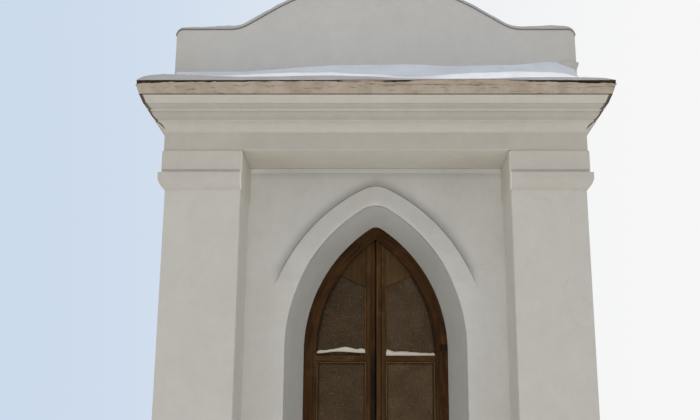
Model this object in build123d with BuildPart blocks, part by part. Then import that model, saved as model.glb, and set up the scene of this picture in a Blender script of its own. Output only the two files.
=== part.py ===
"""Family mausoleum: a small lime-plastered burial chapel, with a pair of pointed-arch timber doors.

Millimetres, +Z up. The front looks along -Y, and X runs across it, left to right.
The origin is on the ground, under the middle of the building.
"""
import os
from math import acos, atan2, cos, degrees, dist, radians, sin, sqrt, tan

from build123d import *

# Overall plan and heights
front_half_width = 1700
building_depth = 3900
base_height = 180
base_margin = 60
base_bevel = 12
wall_above_arch = 158
frieze_height = 148

# Piers at the corners
pier_width = 610
pier_return = 610
pier_arris_radius = 9
recess_depth = 510
side_recess = 100
socle_projection = 30
socle_height = 560
socle_bevel = 26

# Walls
wall_thickness = 380
wall_strip_projection = 14
wall_strip_height = 44

# Capital of each pier: a plain block over a moulded neck, nearly flush with the pier on the side of the recess
capital_slab_height = 172
capital_slab_projection = 34
capital_inner_projection = 10
capital_corner_radius = 27
capital_top_radius = 22
capital_quirk_height = 26
capital_quirk_projection = 27
neck_fillet_height = 40
neck_projection = 52
neck_round_height = 94
neck_round_bulge = 13

# Entablature: the frieze, and bands that step out under the top slab
frieze_projection = 20
bed_rise = 70
bed_reach = 50
quirk_step = 12
quirk_rise = 16
cove_rise = 56
cove_reach = 46
fillet_step = 8
fillet_rise = 22
upper_cove_rise = 32
upper_cove_reach = 32
corona_step = 6
corona_rise = 62
corona_reach = 28
cove_hollow = 9
slab_height = 116
slab_overhang = 42
slab_draft = 38

# Ceiling and roof
ceiling_thickness = 150
ceiling_bearing = 120
roof_rise = 640
roof_thickness = 45
roof_edge_setback = 40
ridge_cap_reach = 130
ridge_cap_thickness = 8

# Curved gable parapets at the front and the back
parapet_end_inset = 6
parapet_setback = 100
parapet_thickness = 250
shoulder_height = 590
shoulder_length = 448
shoulder_radius = 300
gable_slope = 32
gable_straight_run = 216
parapet_corner_radius = 52
coping_thickness = 8
coping_overhang = 6

# Doorway: pointed, its reveal splayed, with a raised band round the arch.
# Each arc is struck from a centre beyond the middle, and a small arc eases the point where two halves meet.
springing_z = 2412
opening_half_width = 617
opening_centre = 680
opening_easing = 90
reveal_depth = 300
reveal_splay = 138
reveal_centre = 620
reveal_easing = 200
arch_band_width = 185
arch_band_centre = 580
arch_band_easing = 250
arch_band_projection = 42
arch_band_draft = 16
arch_band_end_rise = 502
arch_band_taper = 240

# Door frame and threshold
frame_fit = 0.3
frame_band = 78
frame_head_band = 104
frame_back_width = 42
frame_stop_thickness = 29
sill_height = 40
sill_nosing = 30

# Door leaves, hung at the inner face of the wall and opening inwards
leaf_thickness = 45
leaf_gap = 6.5
meeting_gap = 9
floor_gap = 8
hinge_stile_width = 56
meeting_stile_width = 76
meeting_rebate_width = 42
meeting_rebate_depth = 16
meeting_strip_width = 38
meeting_strip_projection = 7
meeting_strip_rounding = 4
meeting_strip_head_gap = 12
rail_setback = 5
mid_rail_drop = 60
mid_rail_height = 48
lock_rail_rise = 960
lock_rail_height = 150
bottom_rail_height = 210
panel_thickness = 12
panel_setback = 25
head_board_setback = 16
head_board_low_rise = 560
head_board_slant = 88
head_board_run = 190

# Knob on each leaf
knob_radius = 21
knob_reach = 58
knob_neck_radius = 9
knob_rose_radius = 16
knob_rose_thickness = 4

# Hinges: three to a leaf
low_hinge_rise = 300
high_hinge_drop = 172
pin_offset = 8
pin_radius = 4
knuckle_radius = 7
knuckle_length = 44
hinge_play = 0.5
hinge_plate_length = 46
hinge_plate_thickness = 3
hinge_web_lift = 1
hinge_web_lap = 2

# Allowances of the drawing itself: where two corners count as one, and how far a cut passes a face
coincidence = 0.001
cut_margin = 1

# Places worked out from the sizes above
front_y = -building_depth / 2
back_y = building_depth / 2
wall_front_y = front_y + recess_depth
wall_inner_y = wall_front_y + wall_thickness
frame_front_y = wall_front_y + reveal_depth
back_wall_outer_y = back_y - side_recess
back_wall_inner_y = back_wall_outer_y - wall_thickness
side_outer_x = front_half_width - side_recess
side_inner_x = side_outer_x - wall_thickness
pier_inner_x = front_half_width - pier_width
pier_middle_x = front_half_width - pier_width / 2

opening_radius = opening_half_width + opening_centre
reveal_half_width = opening_half_width + reveal_splay
reveal_radius = reveal_half_width + reveal_centre
band_radius = reveal_half_width + arch_band_width + arch_band_centre
band_easing_rise = sqrt((band_radius - arch_band_easing) ** 2 - arch_band_centre**2)
band_apex_z = springing_z + band_easing_rise + arch_band_easing
arch_band_end_z = springing_z + arch_band_end_rise
arch_band_full_z = arch_band_end_z + arch_band_taper

soffit_z = band_apex_z + wall_above_arch
frieze_top_z = soffit_z + frieze_height
frieze_half_width = front_half_width + frieze_projection
frieze_front_y = front_y - frieze_projection
coves_reach = quirk_step + cove_reach + fillet_step + upper_cove_reach
cornice_reach = bed_reach + coves_reach + corona_step + corona_reach
cornice_rise = bed_rise + quirk_rise + cove_rise + fillet_rise + upper_cove_rise + corona_rise
slab_bottom_z = frieze_top_z + cornice_rise
slab_top_z = slab_bottom_z + slab_height
slab_reach = cornice_reach + slab_overhang
slab_half_width = frieze_half_width + slab_reach
slab_front_y = frieze_front_y - slab_reach
ceiling_half_width = side_inner_x + ceiling_bearing
ceiling_front_y = wall_inner_y - ceiling_bearing
ceiling_back_y = back_wall_inner_y + ceiling_bearing

sill_top_z = base_height + sill_height
frame_radius = opening_radius - frame_fit
frame_half_width = frame_radius - opening_centre
frame_easing = opening_easing - frame_fit
leaf_front_y = wall_inner_y - leaf_thickness
leaf_radius = frame_radius - frame_back_width - leaf_gap
leaf_half_width = leaf_radius - opening_centre
meeting_x = -meeting_gap / 2
leaf_bottom_z = sill_top_z + floor_gap
pin_x = -(leaf_half_width + leaf_gap / 2)
pin_y = wall_inner_y + pin_offset
mid_rail_z = springing_z - mid_rail_drop
lock_rail_z = sill_top_z + lock_rail_rise
low_hinge_z = sill_top_z + low_hinge_rise
high_hinge_z = springing_z - high_hinge_drop
hinge_heights = (low_hinge_z, (low_hinge_z + high_hinge_z) / 2, high_hinge_z)


def block(x_span, y_span, z_span, mode=Mode.ADD):
    """Upright box between two corners, given as spans along X, Y and Z."""
    with BuildSketch(Plane.XY.offset(z_span[0])) as plan:
        with Locations((sum(x_span) / 2, sum(y_span) / 2)):
            Rectangle(x_span[1] - x_span[0], y_span[1] - y_span[0])
    extrude(plan.sketch, amount=z_span[1] - z_span[0], mode=mode)


def prism(corners, z_span, mode=Mode.ADD):
    """Upright prism over a plan given by its corners, where corners that fall together count once."""
    distinct = [corner for i, corner in enumerate(corners) if dist(corner, corners[i - 1]) > coincidence]
    with BuildSketch(Plane.XY.offset(z_span[0])) as plan:
        with BuildLine():
            Polyline(*distinct, close=True)
        make_face()
    extrude(plan.sketch, amount=z_span[1] - z_span[0], mode=mode)


def elevation(y):
    """Upright plane across the building at y, facing the front: local x is X and local y is Z."""
    return Plane.XZ.offset(-y)


def half_arch(y, centre_x, radius, edge_x, bottom_z, easing=0):
    """Left half of a pointed opening: a jamb, an arc about a centre beyond the middle, and the eased point."""
    jamb_x = centre_x - radius
    sweep = degrees(acos((centre_x - edge_x) / (radius - easing)))
    with BuildSketch(elevation(y)) as half:
        with BuildLine():
            Polyline((edge_x, bottom_z), (jamb_x, bottom_z), (jamb_x, springing_z))
            curve = JernArc((jamb_x, springing_z), (0, 1), radius, -sweep)
            if easing:
                curve = JernArc(curve @ 1, curve % 1, easing, sweep - 90)
            Line(curve @ 1, (edge_x, bottom_z))
        make_face()
    return half.sketch


def mirrored(source):
    """The same piece on the other side of the building's middle."""
    with BuildPart() as twin:
        mirror(source.part, about=Plane.YZ)
    return twin


# Base slab, whose top is the floor
with BuildPart() as base_slab:
    block(
        (-front_half_width - base_margin, front_half_width + base_margin),
        (front_y - base_margin, back_y + base_margin),
        (0, base_height),
    )
    chamfer(base_slab.edges().group_by(Axis.Z)[-1], length=base_bevel)

# Corner piers
socle_top_z = base_height + socle_height
neck_fillet_top_z = soffit_z - capital_slab_height - capital_quirk_height
neck_round_top_z = neck_fillet_top_z - neck_fillet_height
shaft_top_z = neck_round_top_z - neck_round_height
front_pier_middle_y = front_y + pier_return / 2
back_pier_middle_y = back_y - pier_return / 2

front_pier_plan = (
    (-front_half_width, front_y),
    (-pier_inner_x, front_y),
    (-pier_inner_x, wall_inner_y),
    (-side_outer_x, wall_inner_y),
    (-side_outer_x, front_y + pier_return),
    (-front_half_width, front_y + pier_return),
)
back_pier_plan = (
    (-front_half_width, back_y),
    (-pier_inner_x, back_y),
    (-pier_inner_x, back_wall_inner_y),
    (-side_inner_x, back_wall_inner_y),
    (-side_inner_x, back_y - pier_return),
    (-front_half_width, back_y - pier_return),
)


def half_section(plane, half_width, draw_outline):
    """Upright section of the courses round a pier, the same on both sides of its middle line."""
    with BuildSketch(plane) as section:
        with BuildLine():
            draw_outline(half_width)
        make_face()
        mirror(about=Plane.YZ)
    return section.sketch


def square_courses(draw_outline, middle_y):
    """Courses that stand out on all four sides of a pier: one section run both ways, so that it mitres."""
    middle = (-pier_middle_x, middle_y, 0)
    run = pier_width + pier_return
    with BuildPart() as courses:
        across = Plane(origin=middle, x_dir=(1, 0, 0), z_dir=(0, -1, 0))
        extrude(half_section(across, pier_width / 2, draw_outline), amount=run, both=True)
        along = Plane(origin=middle, x_dir=(0, 1, 0), z_dir=(1, 0, 0))
        extrude(half_section(along, pier_return / 2, draw_outline), amount=run, both=True, mode=Mode.INTERSECT)
    return courses


def clear_of_walls(wall_face_y):
    """Cuts a pier's courses away where the walls behind its face begin."""
    block((-side_outer_x, 0), sorted((wall_face_y, 0)), (0, slab_top_z), mode=Mode.SUBTRACT)


def outside_arrises(piece, outer_y):
    """Upright edges on the two outer faces of a corner pier."""
    upright = piece.edges().filter_by(Axis.Z)
    return upright.filter_by(
        lambda edge: abs(edge.center().Y - outer_y) < cut_margin
        or abs(edge.center().X + front_half_width) < cut_margin
    )


def socle_outline(half_width):
    """Half the section of the socle, its top bevelled back to the shaft."""
    reach_x = half_width + socle_projection
    Polyline(
        (0, base_height),
        (reach_x, base_height),
        (reach_x, socle_top_z - socle_bevel),
        (half_width, socle_top_z),
        (0, socle_top_z),
        close=True,
    )


def pier(plan, middle_y, outer_y, wall_face_y):
    """Shaft of a pier on its socle, and the socle's courses by themselves."""
    with BuildPart() as socle:
        add(square_courses(socle_outline, middle_y).part)
        clear_of_walls(wall_face_y)
    with BuildPart() as shaft:
        prism(plan, (base_height, shaft_top_z))
        fillet(outside_arrises(shaft, outer_y), radius=pier_arris_radius)
        add(socle.part)
    return shaft, socle


pier_front_left, socle_front_left = pier(front_pier_plan, front_pier_middle_y, front_y, wall_front_y)
pier_back_left, socle_back_left = pier(back_pier_plan, back_pier_middle_y, back_y, back_wall_outer_y)


def neck_outline(half_width):
    """Half the section of a capital's neck: a quarter round, a fillet over it, and a quirk under the slab."""
    neck_x = half_width + neck_projection
    quirk_x = half_width + capital_quirk_projection
    slab_low_z = neck_fillet_top_z + capital_quirk_height
    Polyline((0, slab_low_z), (0, shaft_top_z), (half_width, shaft_top_z))
    SagittaArc((half_width, shaft_top_z), (neck_x, neck_round_top_z), -neck_round_bulge)
    Polyline((neck_x, neck_round_top_z), (neck_x, neck_fillet_top_z), (quirk_x, neck_fillet_top_z))
    Polyline((quirk_x, neck_fillet_top_z), (quirk_x, slab_low_z), (0, slab_low_z))


def capital_pair(plan, middle_y, wall_face_y):
    """Heads of the left and right piers: a plain slab, its corners eased, over the moulded neck."""
    capital_inner_x = -pier_inner_x + capital_inner_projection
    slab_outer_x = -front_half_width - capital_slab_projection
    with BuildPart() as heads:
        add(square_courses(neck_outline, middle_y).part)
        block((capital_inner_x, 0), (slab_front_y, -slab_front_y), (0, slab_top_z), mode=Mode.SUBTRACT)
        with BuildSketch(Plane.XY.offset(soffit_z - capital_slab_height)) as slab_plan:
            with Locations(((slab_outer_x + capital_inner_x) / 2, middle_y)):
                RectangleRounded(
                    capital_inner_x - slab_outer_x,
                    pier_return + 2 * capital_slab_projection,
                    radius=capital_corner_radius,
                )
        extrude(slab_plan.sketch, amount=capital_slab_height)
        fillet(heads.faces().sort_by(Axis.Z)[-1].edges(), radius=capital_top_radius)
        clear_of_walls(wall_face_y)
        prism(plan, (shaft_top_z, soffit_z))
        mirror(about=Plane.YZ)
    return heads


capitals_front = capital_pair(front_pier_plan, front_pier_middle_y, wall_front_y)
capitals_back = capital_pair(back_pier_plan, back_pier_middle_y, back_wall_outer_y)

# Front wall beside the doorway, its jamb splayed in front of the frame
with BuildPart() as front_wall_left:
    prism(
        (
            (-pier_inner_x, wall_front_y),
            (-reveal_half_width, wall_front_y),
            (-opening_half_width, frame_front_y),
            (-opening_half_width, wall_inner_y),
            (-pier_inner_x, wall_inner_y),
        ),
        (base_height, springing_z),
    )

# Front wall over the doorway: one half of the pointed arch, splayed as the jamb is
with BuildPart() as front_wall_over_left:
    block((-pier_inner_x, 0), (wall_front_y, wall_inner_y), (springing_z, soffit_z))
    below_z = springing_z - frame_band
    outer_face = half_arch(wall_front_y, reveal_centre, reveal_radius, 0, below_z, reveal_easing)
    inner_face = half_arch(frame_front_y, opening_centre, opening_radius, 0, below_z, opening_easing)
    loft(Sketch() + [outer_face.face(), inner_face.face()], ruled=True, mode=Mode.SUBTRACT)
    back_face = half_arch(wall_inner_y, opening_centre, opening_radius, 0, below_z, opening_easing)
    extrude(back_face, amount=wall_thickness - reveal_depth, mode=Mode.SUBTRACT)
    block(
        (-pier_inner_x + capital_inner_projection, 0),
        (wall_front_y - wall_strip_projection, wall_front_y),
        (soffit_z - wall_strip_height, soffit_z),
    )

# Raised band round the arch, its outer edge sloped, which tapers back into the wall at its two ends
with BuildPart() as arch_band:
    proud_y = wall_front_y - arch_band_projection
    below_band_z = springing_z - frame_band
    on_wall = half_arch(wall_front_y, arch_band_centre, band_radius, 0, below_band_z, arch_band_easing)
    proud_of_wall = half_arch(
        proud_y,
        arch_band_centre,
        band_radius - arch_band_draft,
        0,
        below_band_z,
        arch_band_easing - arch_band_draft,
    )
    loft(Sketch() + [on_wall.face(), proud_of_wall.face()], ruled=True)
    extrude(
        half_arch(wall_front_y, reveal_centre, reveal_radius, 0, below_band_z, reveal_easing),
        amount=arch_band_projection,
        mode=Mode.SUBTRACT,
    )
    mirror(about=Plane.YZ)
    taper_face = Plane(
        origin=(0, wall_front_y, arch_band_end_z),
        x_dir=(1, 0, 0),
        z_dir=(0, arch_band_end_z - arch_band_full_z, -arch_band_projection),
    )
    split(bisect_by=taper_face, keep=Keep.BOTTOM)

# Side and back walls, with the socle carried along them between the piers
with BuildPart() as left_wall:
    side_y_span = (front_y + pier_return, back_y - pier_return)
    side_middle = (-side_outer_x + wall_thickness / 2, sum(side_y_span) / 2, 0)
    along_y = Plane(origin=side_middle, x_dir=(1, 0, 0), z_dir=(0, -1, 0))
    half_run = (side_y_span[1] - side_y_span[0]) / 2
    extrude(half_section(along_y, wall_thickness / 2, socle_outline), amount=half_run, both=True)
    block((-side_outer_x, 0), side_y_span, (0, socle_top_z), mode=Mode.SUBTRACT)
    for socle in (socle_front_left, socle_back_left):
        add(socle.part, mode=Mode.SUBTRACT)
    block((-side_outer_x, -side_inner_x), (wall_inner_y, side_y_span[1]), (base_height, soffit_z))

with BuildPart() as back_wall:
    back_middle = (0, back_wall_outer_y - wall_thickness / 2, 0)
    along_x = Plane(origin=back_middle, x_dir=(0, 1, 0), z_dir=(1, 0, 0))
    extrude(half_section(along_x, wall_thickness / 2, socle_outline), amount=pier_inner_x, both=True)
    block((-pier_inner_x, pier_inner_x), (0, back_wall_outer_y), (0, socle_top_z), mode=Mode.SUBTRACT)
    for socle in (socle_back_left, mirrored(socle_back_left)):
        add(socle.part, mode=Mode.SUBTRACT)
    block((-pier_inner_x, pier_inner_x), (back_wall_inner_y, back_wall_outer_y), (base_height, soffit_z))

# Entablature: a frieze and a moulded cornice, mitred at the corners
mitre_in_x = ceiling_half_width
mitre_front_y = frieze_front_y + (frieze_half_width - ceiling_half_width)
far = slab_reach + coping_overhang
front_run_plan = (
    (-frieze_half_width - far, frieze_front_y - far),
    (frieze_half_width + far, frieze_front_y - far),
    (mitre_in_x, mitre_front_y),
    (mitre_in_x, ceiling_front_y),
    (-mitre_in_x, ceiling_front_y),
    (-mitre_in_x, mitre_front_y),
)
back_run_plan = (
    (-frieze_half_width - far, -frieze_front_y + far),
    (frieze_half_width + far, -frieze_front_y + far),
    (mitre_in_x, -mitre_front_y),
    (mitre_in_x, ceiling_back_y),
    (-mitre_in_x, ceiling_back_y),
    (-mitre_in_x, -mitre_front_y),
)
left_run_plan = (
    (-frieze_half_width - far, frieze_front_y - far),
    (-mitre_in_x, mitre_front_y),
    (-mitre_in_x, -mitre_front_y),
    (-frieze_half_width - far, -frieze_front_y + far),
)


def section_plane(outward, face_point):
    """Plane of a wall section: local x points outward from the frieze face, and local y up."""
    return Plane(origin=face_point, x_dir=outward, z_dir=Vector(*outward).cross(Vector(0, 0, 1)))


def entablature_run(outward, face_point, depth, plan):
    """One side of the frieze and its cornice: a section drawn outward, run along and mitred."""
    with BuildPart() as run:
        with BuildSketch(section_plane(outward, face_point)):
            with BuildLine():
                bed = (bed_reach, frieze_top_z + bed_rise)
                quirk = (bed[0] + quirk_step, bed[1] + quirk_rise)
                cove = (quirk[0] + cove_reach, quirk[1] + cove_rise)
                band = (cove[0] + fillet_step, cove[1] + fillet_rise)
                upper = (band[0] + upper_cove_reach, band[1] + upper_cove_rise)
                corona = (upper[0] + corona_step, upper[1])
                Polyline((-depth, slab_bottom_z), (-depth, soffit_z), (0, soffit_z), (0, frieze_top_z))
                SagittaArc((0, frieze_top_z), bed, cove_hollow)
                Polyline(bed, (quirk[0], bed[1]), quirk)
                SagittaArc(quirk, cove, -cove_hollow)
                Polyline(cove, (band[0], cove[1]), band)
                SagittaArc(band, upper, -cove_hollow / 2)
                Polyline(upper, corona, (cornice_reach, slab_bottom_z), (-depth, slab_bottom_z))
            make_face()
        extrude(amount=building_depth, both=True)
        prism(plan, (soffit_z - cut_margin, slab_bottom_z + cut_margin), mode=Mode.INTERSECT)
    return run


entablature_front = entablature_run(
    (0, -1, 0), (0, frieze_front_y, 0), ceiling_front_y - frieze_front_y, front_run_plan
)
entablature_back = entablature_run(
    (0, 1, 0), (0, -frieze_front_y, 0), -frieze_front_y - ceiling_back_y, back_run_plan
)
entablature_left = entablature_run(
    (-1, 0, 0), (-frieze_half_width, 0, 0), frieze_half_width - mitre_in_x, left_run_plan
)

# Ceiling slab, let into the wall heads
with BuildPart() as ceiling:
    block(
        (-ceiling_half_width, ceiling_half_width),
        (ceiling_front_y, ceiling_back_y),
        (soffit_z, soffit_z + ceiling_thickness),
    )

# Top slab of the cornice, its edge leaning in towards the bottom
with BuildPart() as cornice_slab:
    with BuildSketch(Plane.XY.offset(slab_bottom_z)):
        Rectangle(2 * (slab_half_width - slab_draft), -2 * (slab_front_y + slab_draft))
    with BuildSketch(Plane.XY.offset(slab_top_z)):
        Rectangle(2 * slab_half_width, -2 * slab_front_y)
    loft()
    block(
        (-ceiling_half_width, ceiling_half_width),
        (ceiling_front_y, ceiling_back_y),
        (slab_bottom_z, slab_top_z),
        mode=Mode.SUBTRACT,
    )


def gable_face(y, lift, overhang, bottom_z):
    """Gable outline: level shoulders, a hollow curve, a straight slope and a round crown."""
    half_width = front_half_width - parapet_end_inset + overhang
    shoulder_x = front_half_width - parapet_end_inset - shoulder_length
    shoulder_z = slab_top_z + shoulder_height + lift
    slope = radians(gable_slope)
    hollow_x = shoulder_x - shoulder_radius * sin(slope)
    hollow_z = shoulder_z + shoulder_radius * (1 - cos(slope))
    crown_x = hollow_x - gable_straight_run
    crown_z = hollow_z + gable_straight_run * tan(slope)
    with BuildSketch(elevation(y)) as gable:
        with BuildLine():
            Polyline((0, bottom_z), (-half_width, bottom_z), (-half_width, shoulder_z))
            Line((-half_width, shoulder_z), (-shoulder_x, shoulder_z))
            JernArc((-shoulder_x, shoulder_z), (1, 0), shoulder_radius, gable_slope)
            Line((-hollow_x, hollow_z), (-crown_x, crown_z))
            crown = JernArc((-crown_x, crown_z), (cos(slope), sin(slope)), crown_x / sin(slope), -gable_slope)
            Line(crown @ 1, (0, bottom_z))
        make_face()
        mirror(about=Plane.YZ)
        end_corners = gable.vertices().filter_by(lambda v: abs(v.X) > half_width - cut_margin)
        fillet(end_corners.group_by(Axis.Y)[-1], radius=parapet_corner_radius + lift)
    return gable.sketch


parapet_front_y = front_y + parapet_setback
with BuildPart() as parapet_front:
    extrude(
        gable_face(parapet_front_y + parapet_thickness, 0, 0, slab_top_z),
        amount=parapet_thickness,
    )

with BuildPart() as copings:
    coping_back_y = parapet_front_y + parapet_thickness + coping_overhang
    coping_width = parapet_thickness + 2 * coping_overhang
    coping_low_z = slab_top_z + shoulder_height - parapet_corner_radius
    extrude(gable_face(coping_back_y, coping_thickness, coping_overhang, coping_low_z), amount=coping_width)
    extrude(gable_face(coping_back_y, 0, 0, slab_top_z), amount=coping_width, mode=Mode.SUBTRACT)
    mirror(about=Plane.XZ)

# Roof behind the parapets: two slopes and a ridge cap
ridge_z = slab_top_z + roof_rise
roof_front_y = parapet_front_y + parapet_thickness
eave_x = slab_half_width - roof_edge_setback
roof_pitch = atan2(roof_rise, eave_x)
roof_lift = roof_thickness / cos(roof_pitch)
with BuildPart() as roof_left:
    with BuildSketch(elevation(-roof_front_y)) as slope_section:
        with BuildLine():
            Polyline(
                (0, ridge_z),
                (-eave_x, slab_top_z),
                (-eave_x, slab_top_z + roof_lift),
                (0, ridge_z + roof_lift),
                close=True,
            )
        make_face()
    extrude(slope_section.sketch, amount=-2 * roof_front_y)

with BuildPart() as ridge_cap:
    cap_drop = ridge_cap_reach * sin(roof_pitch) / cos(roof_pitch)
    cap_lift = ridge_cap_thickness / cos(roof_pitch)
    with BuildSketch(elevation(-roof_front_y)) as cap_section:
        with BuildLine():
            Polyline(
                (-ridge_cap_reach, ridge_z + roof_lift - cap_drop),
                (0, ridge_z + roof_lift),
                (ridge_cap_reach, ridge_z + roof_lift - cap_drop),
                (ridge_cap_reach, ridge_z + roof_lift - cap_drop + cap_lift),
                (0, ridge_z + roof_lift + cap_lift),
                (-ridge_cap_reach, ridge_z + roof_lift - cap_drop + cap_lift),
                close=True,
            )
        make_face()
    extrude(cap_section.sketch, amount=-2 * roof_front_y)

# Threshold between the jambs
with BuildPart() as door_sill:
    block(
        (-opening_half_width, opening_half_width),
        (frame_front_y - sill_nosing, wall_inner_y),
        (base_height, sill_top_z),
    )

# Door frame: a stop in front, and a narrower back part beside the leaf
stop_back_y = frame_front_y + frame_stop_thickness
with BuildPart() as frame_jambs:
    jamb_z_span = (sill_top_z, springing_z)
    block((-frame_half_width, -frame_half_width + frame_band), (frame_front_y, stop_back_y), jamb_z_span)
    block((-frame_half_width, -frame_half_width + frame_back_width), (stop_back_y, wall_inner_y), jamb_z_span)
    mirror(about=Plane.YZ)

with BuildPart() as frame_head_left:
    extrude(
        half_arch(stop_back_y, opening_centre, frame_radius, 0, springing_z - frame_band, frame_easing),
        amount=frame_stop_thickness,
    )
    extrude(
        half_arch(stop_back_y, opening_centre, frame_radius - frame_head_band, 0, 0),
        amount=frame_stop_thickness,
        mode=Mode.SUBTRACT,
    )
    extrude(
        half_arch(wall_inner_y, opening_centre, frame_radius, 0, springing_z - frame_band, frame_easing),
        amount=wall_inner_y - stop_back_y,
    )
    extrude(
        half_arch(wall_inner_y, opening_centre, frame_radius - frame_back_width, 0, 0),
        amount=wall_inner_y - stop_back_y,
        mode=Mode.SUBTRACT,
    )
    split(bisect_by=Plane.XY.offset(springing_z), keep=Keep.TOP)

# Left door leaf
inner_stile_x = meeting_x - meeting_stile_width
outer_stile_x = -leaf_half_width + hinge_stile_width
leaf_inner_radius = leaf_radius - hinge_stile_width

with BuildPart() as leaf_left_hinge_stile:
    block(
        (-leaf_half_width, outer_stile_x),
        (leaf_front_y, wall_inner_y),
        (leaf_bottom_z, springing_z),
    )

with BuildPart() as leaf_left_arch_rail:
    leaf_arch = half_arch(wall_inner_y, opening_centre, leaf_radius, meeting_x, 0)
    leaf_opening = half_arch(wall_inner_y, opening_centre, leaf_inner_radius, meeting_x, leaf_bottom_z)
    extrude(leaf_arch, amount=leaf_thickness)
    extrude(leaf_opening, amount=leaf_thickness, mode=Mode.SUBTRACT)
    split(bisect_by=Plane.XY.offset(springing_z), keep=Keep.TOP)

# Meeting stiles, under the arched rail: the left one is rebated, and the right one carries a rounded strip
with BuildPart() as plain_meeting_stile:
    extrude(leaf_opening, amount=leaf_thickness)
    block((inner_stile_x, meeting_x), (leaf_front_y, wall_inner_y), (0, slab_bottom_z), mode=Mode.INTERSECT)

with BuildPart() as leaf_left_meeting_stile:
    add(plain_meeting_stile.part)
    block(
        (meeting_x - meeting_rebate_width, meeting_x),
        (leaf_front_y, leaf_front_y + meeting_rebate_depth),
        (0, slab_bottom_z),
        mode=Mode.SUBTRACT,
    )

with BuildPart() as leaf_right_meeting_stile:
    with BuildPart() as meeting_strip:
        strip_head_radius = leaf_inner_radius - meeting_strip_head_gap
        extrude(
            half_arch(wall_inner_y, opening_centre, strip_head_radius, meeting_x, leaf_bottom_z),
            amount=leaf_thickness + meeting_strip_projection,
        )
        block(
            (meeting_x - meeting_strip_width, meeting_x),
            (leaf_front_y - meeting_strip_projection, leaf_front_y),
            (0, slab_bottom_z),
            mode=Mode.INTERSECT,
        )
        strip_front = meeting_strip.faces().sort_by(Axis.Y)[0]
        fillet(strip_front.edges().filter_by(Axis.Z), radius=meeting_strip_rounding)
    add(plain_meeting_stile.part)
    mirror(about=Plane.YZ, mode=Mode.REPLACE)

with BuildPart() as leaf_left_rails:
    rail_y_span = (leaf_front_y + rail_setback, wall_inner_y)
    rail_x_span = (outer_stile_x, inner_stile_x)
    block(rail_x_span, rail_y_span, (leaf_bottom_z, leaf_bottom_z + bottom_rail_height))
    block(rail_x_span, rail_y_span, (lock_rail_z - lock_rail_height / 2, lock_rail_z + lock_rail_height / 2))
    block(rail_x_span, rail_y_span, (mid_rail_z - mid_rail_height / 2, mid_rail_z + mid_rail_height / 2))

panel_front_y = leaf_front_y + panel_setback
panel_back_y = panel_front_y + panel_thickness
upper_panel_z = mid_rail_z + mid_rail_height / 2
head_board_low_z = springing_z + head_board_low_rise
head_far_x = -leaf_half_width
head_far_z = head_board_low_z + head_board_slant / head_board_run * (inner_stile_x - head_far_x)


def below_head_slope(y, bottom_z):
    """Region of the leaf under the slanting edge of its head board."""
    with BuildSketch(elevation(y)) as region:
        with BuildLine():
            Polyline(
                (inner_stile_x, bottom_z),
                (inner_stile_x, head_board_low_z),
                (head_far_x, head_far_z),
                (head_far_x, bottom_z),
                close=True,
            )
        make_face()
    return region.sketch


with BuildPart() as leaf_left_panels:
    arched = half_arch(panel_back_y, opening_centre, leaf_inner_radius, inner_stile_x, upper_panel_z)
    extrude(arched, amount=panel_thickness)
    extrude(below_head_slope(panel_back_y, upper_panel_z), amount=panel_thickness, mode=Mode.INTERSECT)
    panel_x_span = (outer_stile_x, inner_stile_x)
    panel_y_span = (panel_front_y, panel_back_y)
    lock_rail_low_z = lock_rail_z - lock_rail_height / 2
    lock_rail_high_z = lock_rail_z + lock_rail_height / 2
    block(panel_x_span, panel_y_span, (leaf_bottom_z + bottom_rail_height, lock_rail_low_z))
    block(panel_x_span, panel_y_span, (lock_rail_high_z, mid_rail_z - mid_rail_height / 2))

with BuildPart() as leaf_left_head_board:
    board_thickness = panel_thickness + panel_setback - head_board_setback
    extrude(arched, amount=board_thickness)
    extrude(below_head_slope(panel_back_y, 0), amount=board_thickness, mode=Mode.SUBTRACT)

# Knob on the meeting stile: a rose, a neck and a ball, turned about one line
with BuildPart() as leaf_left_knob:
    knob_middle = (inner_stile_x + meeting_x - meeting_rebate_width) / 2
    ball_middle = knob_reach - knob_radius
    ball_start = ball_middle - sqrt(knob_radius**2 - knob_neck_radius**2)
    knob_plane = Plane(origin=(knob_middle, leaf_front_y, lock_rail_z), x_dir=(0, -1, 0), z_dir=(1, 0, 0))
    with BuildSketch(knob_plane) as knob_section:
        with BuildLine():
            Polyline(
                (knob_reach, 0),
                (0, 0),
                (0, knob_rose_radius),
                (knob_rose_thickness, knob_rose_radius),
                (knob_rose_thickness, knob_neck_radius),
                (ball_start, knob_neck_radius),
            )
            ThreePointArc((ball_start, knob_neck_radius), (ball_middle, knob_radius), (knob_reach, 0))
        make_face()
    revolve(knob_section.sketch, axis=Axis(knob_plane.origin, knob_plane.x_dir))


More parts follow.
